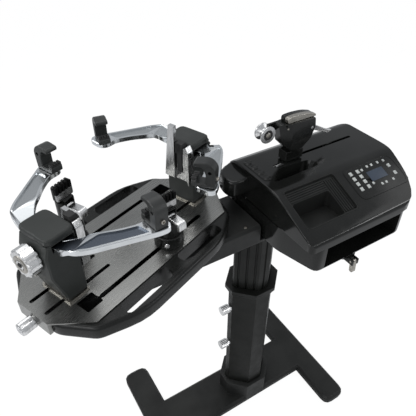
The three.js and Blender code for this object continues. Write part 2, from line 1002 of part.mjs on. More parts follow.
function deckPlate() {
  const sheet = plate(outline(fourfold(deckQuarter(0, deck.halfLength))), -deck.sheet, 0);
  const parts = [];
  for (const side of [-1, 1]) {
    const inner = (deck.halfWidth - deck.sheet) * side;
    const outer = deck.halfWidth * side;
    parts.push(block(-deck.straightHalf + deck.corner, deck.straightHalf - deck.corner,
      Math.min(inner, outer), Math.max(inner, outer), -deck.lipDepth, -deck.sheet / 2));
    const [near, far] = [(deck.halfLength - deck.endBlock) * side, deck.halfLength * side];
    parts.push(block(Math.min(near, far), Math.max(near, far), -deck.endHalfWidth,
      deck.endHalfWidth, -deck.endDepth, -deck.sheet / 2));
  }
  const holes = [];
  const through = (shape) => holes.push(plate(shape, -deck.sheet - overrun, overrun));
  for (const side of [-1, 1]) {
    through(slotShape(-deck.clampSlotHalf, deck.clampSlotHalf, deck.clampSlotAt * side,
      deck.clampSlotWidth));
    for (const end of [-1, 1]) {
      const [x0, x1] = [guideSlotStart * end, guideSlotEnd * end];
      through(slotShape(Math.min(x0, x1), Math.max(x0, x1), deck.guideSlotAt * side,
        deck.guideSlotWidth));
    }
    const [x0, x1] = [entryStart * side, entryEnd * side];
    const [y0, y1] = [deck.entryInner * side, deck.entryOuter * side];
    through(roundedBox(Math.min(x0, x1), Math.max(x0, x1), Math.min(y0, y1),
      Math.max(y0, y1), deck.corner));
    const joinX = [entryStart * side - deck.corner, entryStart * side + deck.corner];
    through(slotShape(Math.min(...joinX) - deck.corner, Math.max(...joinX),
      deck.clampSlotAt * side, deck.clampSlotWidth));
  }
  const bore = screw.radius + touch;
  const screwHole = alongX(rod(bore, -deck.halfLength - overrun, deck.halfLength + overrun),
    0, 0, screw.level);
  return cut(join(sheet, ...parts), ...holes, screwHole);
}

function leadScrew() {
  const face = deck.halfLength;
  const neck = [
    [0, screw.innerEnd], [screw.radius, screw.innerEnd], [screw.radius, face + touch],
    [screw.knobNeck, face + touch], [screw.knobNeck, face + overrun], [0, face + overrun],
  ];
  const grip = fluted(screw.knobRadius, screw.fluteDepth, 8, face + overrun - touch,
    face + screw.knobLength, overrun);
  return alongX(join(turned(neck), grip), 0, 0, screw.level);
}

add("pivot_spindle", pivotSpindle(), colours.steel, turntable);
add("deck_frame", deckFrame(), colours.moulded, turntable);
add("deck_plate", deckPlate(), colours.brushed, turntable);

// Towers: one at each end of the deck, modelled with +x pointing away from the pivot

function towerCore() {
  const foot = plate(roundedBox(tower.footInner, tower.footOuter, -tower.footHalfWidth,
    tower.footHalfWidth, deck.corner), touch, tower.footTop);
  const upright = block(core.inner, core.outer, -core.halfWidth, core.halfWidth,
    tower.footTop / 2, core.top);
  const nut = block(core.inner, core.outer, -core.nutHalfWidth, core.nutHalfWidth,
    core.nutBottom, core.nutTop);
  const tongues = [-1, 1].map((side) => block(core.tongueInner, core.tongueOuter,
    deck.guideSlotAt * side - core.tongueHalf, deck.guideSlotAt * side + core.tongueHalf,
    core.nutTop - overrun, overrun));
  const channelFloor = knob.level - knob.pinionRadius - 2 * touch - arm.rackHeight;
  const stub = alongX(rod(core.stubRadius, core.outer - overrun, core.stubEnd), 0, 0,
    core.stubLevel);
  const shaftBore = alongX(rod(knob.shaftRadius + touch, core.inner + overrun,
    core.outer + overrun), 0, 0, knob.level);
  const screwBore = alongX(rod(screw.radius + touch, core.inner - overrun,
    core.outer + overrun), 0, 0, screw.level);
  return cut(
    join(foot, upright, nut, ...tongues, stub),
    block(core.channelInner, core.channelOuter, -core.halfWidth - overrun,
      core.halfWidth + overrun, channelFloor, core.top + overrun),
    shaftBore,
    screwBore,
  );
}

function coverProfile(inset) {
  const foot = tower.footTop + touch - (inset > 0 ? overrun : 0);
  const top = tower.capBottom + (inset > 0 ? -touch : touch);
  return outline([
    [tower.inner + inset, foot], [tower.baseOuter - inset, foot],
    [tower.bulge - inset, tower.bulgeLow], [tower.bulge - inset, tower.bulgeHigh],
    [tower.shoulder - inset, top], [tower.inner + inset, top],
  ]);
}

function towerCover() {
  const shell = wall(coverProfile(0), -tower.halfWidth, tower.halfWidth, tower.edge);
  const hollow = wall(coverProfile(tower.wall), -tower.halfWidth + tower.wall,
    tower.halfWidth - tower.wall);
  const reach = tower.halfWidth + tower.capReach;
  const cap = plate(roundedBox(tower.inner - tower.capReach, tower.shoulder + tower.capReach,
    -reach, reach, tower.capCorner), tower.capBottom, tower.capTop, tower.capEdge, 3);
  const window = block(tower.windowInner, tower.windowOuter, -tower.halfWidth - overrun,
    tower.halfWidth + overrun, arm.level - touch,
    arm.level + arm.thickness + arm.headroom);
  const shaftHole = alongX(rod(knob.shaftRadius + touch, tower.shoulder - tower.wall * 2,
    tower.bulge + overrun), 0, 0, knob.level);
  const stubHole = alongX(rod(core.stubRadius + touch, tower.baseOuter,
    tower.bulge + overrun), 0, 0, core.stubLevel);
  return cut(join(shell, cap), hollow, window, shaftHole, stubHole);
}

function towerKnob(radius) {
  const start = tower.bulge + touch;
  const middle = (core.channelInner + core.channelOuter) / 2;
  const pinion = [middle - knob.pinionWidth / 2, middle + knob.pinionWidth / 2];
  const shape = join(
    rod(knob.shaftRadius, core.inner + overrun + touch, start + overrun, 20),
    fluted(knob.pinionRadius, knob.pinionTooth, 8, ...pinion),
    fluted(radius, knob.fluteDepth, 12, start, start + knob.thickness, overrun),
    rod(knob.hubRadius, start + knob.thickness - overrun,
      start + knob.thickness + knob.hubStand, 6),
  );
  return alongX(shape, 0, 0, knob.level);
}

// The head rest: a tapering bar and a side bracket on a flange, made for the tower whose near
// side is +y
function headRest(barTop, nearSide) {
  const face = tower.inner - touch;
  const back = face - rest.flangeThickness;
  const flange = block(back, face, rest.barLow[0], rest.bracket[1], rest.flangeBottom,
    rest.flangeTop);
  const bar = slab(outline([
    [rest.barLow[0], rest.barBottom], [rest.barLow[1], rest.barBottom],
    [rest.barHigh[1], barTop], [rest.barHigh[0], barTop],
  ]), rest.barInner, rest.barOuter);
  const strut = block(rest.barOuter - overrun, back + overrun, rest.barLow[0] / 2,
    rest.barLow[1] - overrun, rest.barBottom, rest.strutTop);
  const bracket = slab(rounded([
    [rest.bracket[0], rest.strutTop], [rest.bracket[1], rest.flangeBottom],
    [rest.bracket[1], rest.bracketTop - 2 * rest.postHalf],
    [rest.bracket[1] - rest.postHalf, rest.bracketTop],
    [rest.bracket[0], rest.bracketTop - rest.postHalf],
  ], overrun), rest.bracketInner, back + overrun);
  const whole = join(flange, bar, strut, bracket);
  return nearSide > 0 ? whole : whole.mirror([0, 1, 0]);
}

// The ribbed rubber block that the head of the frame rests on, on its own post
function headPad(nearSide) {
  const back = tower.inner - touch - rest.flangeThickness - touch;
  const [v0, v1] = rest.pad;
  const middle = (v0 + v1) / 2;
  const body = block(rest.padInner, back, v0, v1, rest.padBottom, rest.padTop);
  const post = block(rest.bracketInner, back, middle - rest.postHalf, middle + rest.postHalf,
    rest.strutTop, rest.padBottom + overrun);
  const pitch = (v1 - v0) / rest.ribs;
  const grooves = [];
  for (let i = 1; i < rest.ribs; i += 1) {
    const v = v0 + i * pitch;
    grooves.push(block(rest.padInner - overrun, rest.padInner + pitch / 2, v - pitch / 5,
      v + pitch / 5, rest.padBottom + overrun, rest.padTop + overrun));
  }
  const whole = cut(join(body, post), ...grooves);
  return nearSide > 0 ? whole : whole.mirror([0, 1, 0]);
}

const clawFloor = arm.level + arm.rise + arm.thickness + touch;

// The curved arm: a channelled plate that leaves the tower level, climbs and turns to the claw
function curvedArm(side) {
  const ring = [...armOutside, ...armInside];
  const radii = ring.map((p) => (p[1] === arm.webInner ? 0 : arm.corner));
  const flat = plate(rounded(ring, radii), arm.level, arm.level + arm.thickness, arm.edge, 1, 2);
  const steps = flat.refineToLength(2 * claw.width).warp((p) => {
    const share = (p[1] - arm.riseStart) / (arm.riseEnd - arm.riseStart);
    p[2] += arm.rise * Math.min(1, Math.max(0, share));
  });
  const far = (list) => list.filter((p) => p[0] > arm.pocketFrom && p[1] > arm.riseEnd);
  const [first, last] = [far(armOutside), far(armInside)];
  const slope = (last[0][0] - arm.pocketFrom) * arm.pocketSlopeShare;
  const start = [arm.pocketFrom, last[0][1] + slope];
  const end = [arm.pocketFrom, first[first.length - 1][1] + arm.pocketEnd];
  const field = [...first, end, start, ...last].map((p) => new THREE.Vector2(...p));
  if (THREE.ShapeUtils.isClockWise(field)) {
    field.reverse();
  }
  const moves = insets(field);
  const inner = field.map((p, i) => p.clone().addScaledVector(moves[i], arm.rim));
  const top = arm.level + arm.rise + arm.thickness;
  const pocket = plate(rounded(inner.map((p) => [p.x, p.y]), arm.rim), top - arm.recess,
    top + overrun);
  const middle = (core.channelInner + core.channelOuter) / 2;
  const u0 = side > 0 ? middle + touch : middle - touch - arm.rackWidth;
  const u1 = u0 + arm.rackWidth;
  const above = knob.level + knob.pinionRadius + touch;
  const below = knob.level - knob.pinionRadius - touch - arm.rackHeight;
  const z0 = side > 0 ? above : below;
  const web = block(u0, u1, arm.webInner, arm.webOuter, z0, arm.level + arm.thickness / 2);
  const rack = block(u0, u1, -arm.rackPast, arm.webOuter, z0, z0 + arm.rackHeight);
  const pinHole = rod(claw.pinRadius + touch, arm.level, clawFloor + overrun, 24)
    .translate([claw.at, claw.pinOut, 0]);
  const whole = join(cut(steps, pocket, pinHole), web, rack);
  return side > 0 ? whole : whole.mirror([0, 1, 0]);
}

// A claw: a foot with a short inner post and a tall ear that hooks back over the gap
function clawShape(side) {
  const ear = claw.outer - claw.earThickness;
  const foot = clawFloor + claw.footThickness;
  const post = claw.inner + claw.postThickness;
  const points = [
    [claw.inner, clawFloor], [claw.outer, clawFloor], [claw.outer + claw.bulge, claw.shoulder],
    [claw.crown, claw.top], [claw.hook, claw.top - 2 * claw.bulge],
    [claw.hook, claw.top - claw.hookThickness], [ear - claw.hookThickness / 2,
      claw.top - claw.hookThickness], [ear, claw.shoulder - claw.hookThickness], [ear, foot],
    [post, foot], [post, clawFloor + claw.postHeight], [claw.inner, clawFloor + claw.postHeight],
  ];
  const large = { 2: claw.hookThickness, 3: claw.hookThickness, 4: claw.heelCorner };
  const radii = points.map((point, i) => large[i] ?? claw.corner);
  const from = claw.at - claw.width / 2;
  const body = slab(rounded(points, radii), from, from + claw.width, claw.edge, 1, 3);
  const eye = alongX(rod(claw.eyeRadius, from - overrun, from + claw.width + overrun), 0,
    claw.eyeAt, claw.eyeLevel);
  const pin = rod(claw.pinRadius, arm.level + arm.rise + overrun, foot - overrun, 16)
    .translate([claw.at, claw.pinOut, 0]);
  return atPin(join(cut(body, eye), pin), side);
}

// A claw piece brought to its swivel pin and to its side
function atPin(shape, side) {
  const centred = shape.translate([-claw.at, -claw.pinOut, 0]);
  return side > 0 ? centred : centred.mirror([0, 1, 0]);
}

// A ribbed rubber pad on the claw's inner post
function clawPad(side) {
  const low = clawFloor + claw.postHeight + touch;
  const from = claw.at - claw.width / 2 + claw.edge;
  const length = claw.width - 2 * claw.edge;
  const body = block(from, from + length, claw.inner + touch, claw.inner + claw.postThickness,
    low, low + claw.padHeight);
  const pitch = length / claw.padRibs;
  const grooves = [];
  for (let i = 1; i < claw.padRibs; i += 1) {
    const u = from + i * pitch;
    grooves.push(block(u - pitch / 6, u + pitch / 6, claw.inner - overrun,
      claw.outer, low + claw.padHeight / 2, low + claw.padHeight + overrun));
  }
  return atPin(cut(body, ...grooves), side);
}

// The tip tower stands at the -x end of the deck and the throat tower at its +x end
for (const end of ["tip", "throat"]) {
  const tip = end === "tip";
  const lengthwise = new THREE.Group();
  lengthwise.rotation.z = tip ? Math.PI : 0;
  turntable.add(lengthwise);
  add(`${end}_lead_screw`, leadScrew(), colours.silver, lengthwise);
  const group = new THREE.Group();
  group.position.x = towerShift + (tip ? 0 : tower.throatShift);
  lengthwise.add(group);
  const nearSide = tip ? 1 : -1;
  add(`${end}_tower_core`, towerCore(), colours.steel, group);
  add(`${end}_tower_cover`, towerCover(), colours.cover, group);
  add(`${end}_tower_knob`, towerKnob(tip ? knob.radius : knob.blackRadius),
    tip ? colours.silver : colours.charcoal, group);
  add(`${end}_head_rest`, headRest(tip ? rest.tipBarTop : rest.throatBarTop, nearSide),
    colours.silver, group);
  add(`${end}_head_pad`, headPad(nearSide), colours.moulded, group);
  for (const side of [-1, 1]) {
    const name = `${end}_${side === nearSide ? "near" : "far"}`;
    add(`${name}_arm`, curvedArm(side), colours.polished, group);
    const swivel = new THREE.Group();
    const turns = tip ? claw.tipTurnDeg : claw.throatTurnDeg;
    swivel.position.set(claw.at, claw.pinOut * side, 0);
    swivel.rotation.z = THREE.MathUtils.degToRad(-side * turns[side === nearSide ? 0 : 1]);
    group.add(swivel);
    add(`${name}_claw`, clawShape(side), colours.charcoal, swivel);
    add(`${name}_claw_pad`, clawPad(side), colours.moulded, swivel);
  }
}

// String clamps: each stands in one of the deck's long slots

function clampBase() {
  const under = -deck.sheet - touch;
  const neck = block(-clamp.neckWidth, clamp.neckWidth, -clamp.neckWidth / 2,
    clamp.neckWidth / 2, under - clamp.footThickness / 2, overrun);
  const foot = block(-clamp.footLength / 2, clamp.footLength / 2, -clamp.footWidth / 2,
    clamp.footWidth / 2, under - clamp.footThickness, under);
  const disc = turned([
    [0, touch], [clamp.baseRadius, touch], [clamp.baseRadius, clamp.baseHeight - overrun],
    [clamp.baseRadius - overrun, clamp.baseHeight], [0, clamp.baseHeight],
  ], 28);
  const reach = clamp.baseRadius + clamp.buttonStand;
  const stud = alongX(rod(clamp.buttonRadius, clamp.baseRadius / 2, reach, 20), 0, 0,
    clamp.baseHeight / 2).rotate([0, 0, clamp.studTurnDeg]);
  const pocket = rod(clamp.pinRadius + touch, clamp.baseHeight / 2, clamp.baseHeight + overrun, 20);
  return cut(join(neck, foot, disc, stud), pocket);
}

function jawPlate(x0, x1) {
  const half = clamp.jawHalfWidth;
  const body = slab(roundedBox(-half, half, clamp.jawBottom, clamp.jawTop, clamp.jawCorner),
    x0, x1);
  const pitch = (2 * half) / clamp.toothCount;
  const gaps = [];
  for (let i = 1; i < clamp.toothCount; i += 1) {
    const y = -half + i * pitch;
    gaps.push(block(x0 - overrun, x1 + overrun, y - clamp.toothGap / 2, y + clamp.toothGap / 2,
      clamp.jawTop - clamp.toothDepth, clamp.jawTop + overrun));
  }
  return cut(body, ...gaps);
}

// The post turns on its base; its head is let down by drop
function clampPost(drop) {
  const profile = [
    [0, clamp.baseHeight / 2 + touch], [clamp.pinRadius, clamp.baseHeight / 2 + touch],
    [clamp.pinRadius, clamp.baseHeight + touch], [clamp.bodyRadius, clamp.baseHeight + touch],
    [clamp.bodyRadius, clamp.bodyTop - overrun], [clamp.bodyRadius - overrun, clamp.bodyTop],
    [clamp.waistRadius, clamp.bodyTop], [clamp.waistRadius, clamp.waistTop - drop],
    [0, clamp.waistTop - drop],
  ];
  const neck = block(-clamp.jawThickness - clamp.jawOpening, clamp.earGap + clamp.jawThickness,
    -clamp.neckHalfWidth, clamp.neckHalfWidth, clamp.waistTop - overrun, clamp.jawBottom);
  const fixed = jawPlate(-clamp.jawThickness - clamp.jawOpening / 2, -clamp.jawOpening / 2);
  const leverGap = block(clamp.leverGapFrom, clamp.waistRadius + overrun,
    -clamp.leverWidth / 2 - touch, clamp.leverWidth / 2 + touch,
    clamp.leverLevel - clamp.leverWidth / 2 - touch, clamp.waistTop + overrun);
  const pinHole = alongY(rod(clamp.leverPin + touch, -clamp.waistRadius, clamp.waistRadius, 16),
    clamp.leverAt, 0, clamp.leverLevel);
  const step = block(-clamp.jawOpening / 2, clamp.waistRadius, -clamp.waistRadius,
    clamp.waistRadius, clamp.jawBottom - touch, clamp.jawBottom + overrun);
  const lowered = [neck, fixed, leverGap, pinHole, step].map((piece) =>
    piece.translate([0, 0, -drop]));
  return cut(join(turned(profile), ...lowered.slice(0, 2)), ...lowered.slice(2));
}

function clampJaw() {
  const start = clamp.jawOpening / 2;
  return jawPlate(start, start + clamp.jawThickness);
}

// The lever: an eye on its pin and a band that bends down at its tip
function clampLever() {
  const centre = clamp.leverAt;
  const half = clamp.leverWidth / 2;
  const eye = alongY(rod(clamp.leverEye, -half, half, 24), centre, 0, clamp.leverLevel);
  const pin = alongY(rod(clamp.leverPin, -clamp.leverPinHalf, clamp.leverPinHalf, 16), centre, 0,
    clamp.leverLevel);
  const thick = clamp.leverThickness;
  const top = clamp.leverLevel + thick / 2;
  const end = centre + clamp.leverLength;
  const low = clamp.leverLevel - clamp.leverTip;
  const band = wall(rounded([
    [centre, top - thick], [end - thick, top - thick], [end - thick, low], [end, low],
    [end, top], [centre, top],
  ], [0, thick, overrun, overrun, 2 * thick, 0]), -half, half, touch);
  return join(eye, pin, band);
}

const clampSpots = [
  ["near", towerInner + tower.throatShift - clamp.nearGap, -1, clamp.nearTurnDeg, clamp.nearDrop],
  ["far", clamp.farGap - towerInner, 1, clamp.farTurnDeg, 0],
];
for (const [name, at, side, turnDeg, drop] of clampSpots) {
  const group = new THREE.Group();
  group.position.set(at, deck.clampSlotAt * side, 0);
  turntable.add(group);
  add(`${name}_clamp_base`, clampBase(), colours.moulded, group);
  const swivel = new THREE.Group();
  swivel.rotation.z = THREE.MathUtils.degToRad(turnDeg);
  group.add(swivel);
  add(`${name}_clamp_post`, clampPost(drop), colours.moulded, swivel);
  add(`${name}_clamp_jaw`, clampJaw(), colours.steel, swivel).position.z = -drop;
  add(`${name}_clamp_lever`, clampLever(), colours.silver, swivel).position.z = -drop;
}

// Tension unit: the two cases and what is let into them

const slopeShare = (unit.top - unit.slopeFoot) / (unit.crestY - unit.slopeFootY);
const slopeAt = (y) => unit.slopeFoot + slopeShare * (y - unit.slopeFootY);

function caseProfile(inset) {
  const low = inset > 0 ? unit.seam - overrun : unit.seam;
  const points = [
    [unit.front + inset, low], [unit.front + inset, unit.frontRise - inset / 2],
    [unit.slopeFootY, unit.slopeFoot - inset],
    [unit.crestY, unit.top - inset], [unit.crownBack, unit.top - inset],
    [unit.back - inset, unit.backTop - inset], [unit.back - inset, low],
  ];
  const soft = unit.corner - inset * 2;
  return rounded(points, unit.profileShares.map((share) => share * soft));
}

function casePlan(inset) {
  return rounded([
    [unit.left + inset, unit.front + inset], [unit.rightFrontX - inset, unit.front + inset],
    [unit.rightMidFrontX - inset, unit.rightMidFrontY + inset],
    [unit.right - inset, unit.rightMidY], [unit.right - inset, unit.hipY],
    [unit.right - unit.corner * 2 - inset, unit.back - inset],
    [unit.left + inset, unit.back - inset],
  ], unit.planShares.map((share) => share * unit.corner));
}

// The rounded nose that stands out to the left of the case over the head casting
function nose(inset) {
  const plan = rounded([
    [unit.left + unit.corner, unit.noseFront + inset],
    [unit.noseLeft + inset, unit.noseFront + inset],
    [unit.noseLeft + inset, unit.noseBack],
    [unit.left + unit.corner, unit.back - inset],
  ], unit.noseShares.map((share) => share * unit.corner));
  const edge = inset > 0 ? 0 : unit.corner / 2;
  return plate(plan, unit.noseBottom + inset, unit.noseTop - inset, edge, 3);
}

function upperCase() {
  const skin = (inset, edge) => slab(caseProfile(inset), unit.left + inset, unit.right - inset,
    edge, 3).intersect(plate(casePlan(inset), unit.seam - overrun * 2, unit.top + overrun));
  const shell = join(skin(0, unit.ridge), nose(0));
  const hollow = join(skin(unit.wall, 0), nose(unit.wall));
  const slotCut = plate(slotShape(slot.start, slot.end, 0, slot.width), 0, unit.top + overrun);
  const leverCut = plate(roundedBox(slot.leverSlotStart, slot.leverSlotEnd, slot.leverSlotFront,
    slot.leverSlotBack, slot.leverSlotCorner), slot.valleyFloor, unit.top + overrun);
  const trayPlan = roundedBox(tray.left - touch, tray.right + touch, tray.front - touch,
    tray.back + touch, tray.corner);
  const panelPlan = roundedBox(panel.left - touch, panel.right + touch, panel.front - touch,
    panel.back + touch, panel.corner);
  const window = (plan) => plate(plan, unit.frontLip, unit.top + overrun);
  const panelSeat = window(panelPlan).intersect(
    underSlope(panel.thickness - panel.stand + touch, unit.top * 2));
  const strip = plate(buttonStripPlan(touch), unit.top - button.stripThickness / 2,
    unit.top + overrun);
  const skinned = cut(shell, cut(hollow, valley(unit.wall)));
  return cut(skinned, valley(0), slotCut, leverCut, window(trayPlan), panelSeat, strip, keyWell());
}

// The scoop in front of the slot, or with grow the scoop's skin on the inside of the case
function valley(grow) {
  const ringOf = (corners) => {
    const shape = rounded(corners, slot.valleyCorner);
    const points = shape.extractPoints(3).shape;
    const moves = insets(points);
    return points.map((point, i) => point.clone().addScaledVector(moves[i], -grow).toArray());
  };
  const top = unit.top + (grow > 0 ? -unit.wall : overrun);
  return taper(ringOf(slot.valleyBottom), slot.valleyFloor - grow, ringOf(slot.valleyTop), top);
}

// Everything above the sloping panel, from a depth below its surface to a height above it
function underSlope(depth, height) {
  const lift = (y) => slopeAt(y) - depth;
  return slab(outline([
    [unit.front, lift(unit.front)], [unit.crestY, lift(unit.crestY)],
    [unit.crestY, height], [unit.front, height],
  ]), unit.left, unit.right);
}

function keyWell() {
  const inset = panel.matMargin;
  const plan = roundedBox(panel.left + inset, panel.right - inset, panel.front + inset,
    panel.back - inset, inset);
  return plate(plan, unit.frontLip, unit.top + overrun).intersect(
    underSlope(panel.thickness + panel.matThickness + 2 * touch, unit.top * 2));
}

function buttonStripPlan(grow) {
  const half = button.stripHalf + grow;
  const last = button.firstY - (button.count - 1) * button.pitch;
  return roundedBox(button.x - half, button.x + half, last - half, button.firstY + half, half);
}

function lowerCase() {
  const plan = (inset) => rounded([
    [unit.left - 3 * touch + inset, unit.lowerLeftFrontY],
    [unit.lowerLeftFrontX + inset, unit.front + unit.wall + inset],
    [unit.rightFrontX - unit.corner - inset, unit.front + unit.wall + inset],
    [unit.lowerRight - unit.corner - inset, unit.rightMidFrontY + inset],
    [unit.lowerRight - inset, unit.rightMidY], [unit.lowerRight - inset, unit.hipY],
    [unit.lowerRight - unit.corner * 2 - inset, unit.back - unit.wall - inset],
    [unit.left - 3 * touch + inset, unit.back - unit.wall - inset],
  ], unit.corner);
  const top = unit.seam - touch;
  const body = plate(plan(0), unit.bottom, top + unit.bottomEdge, unit.bottomEdge, 3).intersect(
    block(-pivotReach, pivotReach, -pivotReach, pivotReach, unit.bottom - overrun, top));
  const storage = block(unit.storageLeft, unit.storageRight, unit.front - overrun,
    unit.storageBack, unit.storageBottom, unit.storageTop);
  const back = unit.storageBack + 2 * unit.wall;
  const electronics = plate(plan(unit.wall), unit.bottom + unit.wall, top + overrun).intersect(
    block(-pivotReach, pivotReach, back, pivotReach, unit.bottom, top + 2 * overrun));
  return cut(body, storage, electronics);
}

// Tray: a moulded dish let into the slope, with stepped ridges and a ribbed rest beside its well
function toolTray() {
  const plan = roundedBox(tray.left, tray.right, tray.front, tray.back, tray.corner);
  const deepest = tray.depth + tray.pocketDepth;
  const below = (depth) => slab(outline([
    [unit.front, slopeAt(unit.front) - depth], [unit.crestY, slopeAt(unit.crestY) - depth],
    [unit.crestY, unit.frontLip - deepest], [unit.front, unit.frontLip - deepest],
  ]), unit.left, unit.right);
  const wellFloor = slopeAt(tray.pocketFront) - tray.pocketDepth;
  const body = plate(plan, wellFloor - tray.wall, unit.top).intersect(below(tray.depth));
  const rimPlan = roundedBox(tray.left + tray.wall, tray.right - tray.wall,
    tray.front + tray.wall, tray.back - tray.wall, tray.corner);
  const rim = cut(plate(plan, unit.frontLip, unit.top), plate(rimPlan, unit.frontLip - overrun,
    unit.top + overrun)).intersect(below(0)).intersect(
    underSlope(tray.depth + overrun, unit.top * 2));
  const well = plate(roundedBox(tray.pocketLeft, tray.pocketRight, tray.pocketFront,
    tray.pocketBack, tray.corner), wellFloor, unit.top);
  const ribs = [];
  const step = (tray.back - tray.pocketBack - tray.wall * 2) / tray.ribCount;
  for (let i = 0; i < tray.ribCount; i += 1) {
    const y = tray.pocketBack + tray.wall + step * i;
    ribs.push(block(tray.left + tray.wall, tray.pocketRight, y, y + tray.ribWidth,
      unit.frontLip, unit.top).intersect(below(tray.depth - tray.ribHeight)));
  }
  const pitch = (tray.right - tray.pocketRight - tray.wall * 2) / tray.ribCount;
  for (let i = 0; i < tray.ribCount; i += 1) {
    const x = tray.pocketRight + tray.wall + pitch * (i + tray.ribShare);
    ribs.push(block(x, x + tray.ribWidth, tray.front + tray.corner, tray.back - tray.corner,
      unit.frontLip, unit.top).intersect(below(tray.depth - tray.ribHeight)));
  }
  const skirt = cut(plate(plan, wellFloor - tray.wall, unit.top), plate(
    roundedBox(tray.pocketLeft - tray.wall, tray.pocketRight + tray.wall,
      tray.pocketFront - tray.wall, tray.pocketBack + tray.wall, tray.corner),
    wellFloor - 2 * tray.wall, unit.top)).intersect(below(tray.depth + tray.wall));
  return cut(join(cut(body, skirt), rim, ...ribs), well);
}

function keypadPanel() {
  const plan = (inset) => roundedBox(panel.left + inset, panel.right - inset,
    panel.front + inset, panel.back - inset, panel.corner);
  const between = (low, high) => slab(outline([
    [unit.front, slopeAt(unit.front) + low], [unit.crestY, slopeAt(unit.crestY) + low],
    [unit.crestY, slopeAt(unit.crestY) + high], [unit.front, slopeAt(unit.front) + high],
  ]), unit.left, unit.right);
  const sheet = plate(plan(0), unit.frontLip, unit.top * 2).intersect(
    between(panel.stand - panel.thickness, panel.stand));
  const field = plate(plan(panel.fieldMargin), unit.frontLip, unit.top * 2).intersect(
    between(panel.stand - panel.fieldDepth, panel.stand + overrun));
  const holes = keySpots().map(([x, y, half]) => block(x - half - touch, x + half + touch,
    y - half - touch, y + half + touch, unit.frontLip, unit.top * 2));
  const window = block(panel.windowLeft, panel.windowRight, panel.windowFront,
    panel.windowBack, unit.frontLip, unit.top * 2);
  return cut(sheet, field, window, ...holes);
}

// Places of the keys on the panel, as shares of its width and depth, and their half sizes
function keySpots() {
  const spots = [];
  const x = (share) => panel.left + share * (panel.right - panel.left);
  const y = (share) => panel.back - share * (panel.back - panel.front);
  for (const across of panel.columnShares) {
    for (const down of panel.rowShares) {
      spots.push([x(across), y(down), panel.keyHalf]);
    }
  }
  for (const [across, down] of panel.smallShares) {
    spots.push([x(across), y(down), panel.smallKeyHalf]);
  }
  for (const [across, down] of panel.rightShares) {
    spots.push([x(across), y(down), panel.keyHalf]);
  }
  return spots;
}

function keyMat() {
  const inset = panel.matMargin + touch;
  const plan = roundedBox(panel.left + inset, panel.right - inset, panel.front + inset,
    panel.back - inset, inset);
  const under = panel.stand - panel.thickness - touch;
  const between = (low, high) => slab(outline([
    [unit.front, slopeAt(unit.front) + low], [unit.crestY, slopeAt(unit.crestY) + low],
    [unit.crestY, slopeAt(unit.crestY) + high], [unit.front, slopeAt(unit.front) + high],
  ]), unit.left, unit.right);
  const sheet = plate(plan, unit.frontLip, unit.top * 2).intersect(
    between(under - panel.matThickness, under));
  const keys = keySpots().map(([x, y, half]) => block(x - half, x + half, y - half, y + half,
    unit.frontLip, unit.top * 2).intersect(between(under - touch,
    panel.stand - panel.fieldDepth + panel.keyStand)));
  return join(sheet, ...keys);
}

function displayWindow() {
  const under = panel.stand - panel.thickness;
  const between = slab(outline([
    [unit.front, slopeAt(unit.front) + under], [unit.crestY, slopeAt(unit.crestY) + under],
    [unit.crestY, slopeAt(unit.crestY) + panel.displayStand],
    [unit.front, slopeAt(unit.front) + panel.displayStand],
  ]), unit.left, unit.right);
  return block(panel.windowLeft + touch, panel.windowRight - touch, panel.windowFront + touch,
    panel.windowBack - touch, unit.frontLip, unit.top * 2).intersect(between);
}

function buttonStrip() {
  const low = unit.top - button.stripThickness / 2 + touch;
  const top = low + button.stripThickness;
  const strip = plate(buttonStripPlan(0), low, top);
  const domes = [];
  for (let i = 0; i < button.count; i += 1) {
    domes.push(turned([
      [0, low + touch], [button.radius, low + touch], [button.radius, top],
      [button.crownRadius, top + button.crownStand], [0, top + button.stand],
    ], 20).translate([button.x, button.firstY - i * button.pitch, 0]));
  }
  return join(strip, ...domes);
}

add("tension_lower_case", lowerCase(), colours.gloss, head);
add("tension_upper_case", upperCase(), colours.gloss, head);
add("tool_tray", toolTray(), colours.tray, head);
add("keypad_panel", keypadPanel(), colours.gloss, head);
add("key_mat", keyMat(), colours.key, head);
add("display_window", displayWindow(), colours.display, head);
add("button_strip", buttonStrip(), colours.gloss, head);

// Under the lower case: a round housing with a small hanging lever

function underBoss() {
  const top = unit.bottom - touch;
  const low = top - under.height;
  const body = turned([
    [0, low], [under.radius - overrun, low], [under.radius, low + overrun],
    [under.radius, low + under.rimHeight], [under.radius - overrun, low + under.rimHeight],
    [under.radius - overrun, top], [0, top],
  ], 28);
  const half = under.leverWidth / 2 + touch;
  const reach = under.radius + 2 * under.earReach;
  const ear = (side) => {
    const faces = [half * side, (half + under.earThickness) * side];
    return block(-reach, -under.earRoot, Math.min(...faces), Math.max(...faces),
      low - under.earReach, low + under.earReach);
  };
  const pin = alongY(rod(under.pinRadius + touch, -under.radius, under.radius, 16),
    -under.radius - under.earReach, 0, low);
  return cut(join(body, ear(-1), ear(1)), pin);
}

function underLever() {
  const half = under.leverWidth / 2;
  const length = under.leverLength;
  const [hook, tip, corner] = under.hookShares.map((share) => share * half);
  const arm = wall(rounded([
    [half, half], [-half, half], [-hook, -length], [tip, -length],
  ], corner), -half, half, touch);
  const pin = alongY(rod(under.pinRadius, -half - under.earThickness, half + under.earThickness,
    16));
  return join(arm, pin);
}

const underSide = new THREE.Group();
underSide.position.set(under.x, under.y, 0);
underSide.rotation.z = Math.PI / 2;
head.add(underSide);
add("under_boss", underBoss(), colours.moulded, underSide);
const underPin = [-under.radius - under.earReach, unit.bottom - touch - under.height];
add("under_lever", underLever(), colours.moulded, underSide).position.set(underPin[0], 0,
  underPin[1]);

// Inside the unit: a guide frame, the drive screw, its motor and the carriage that they move

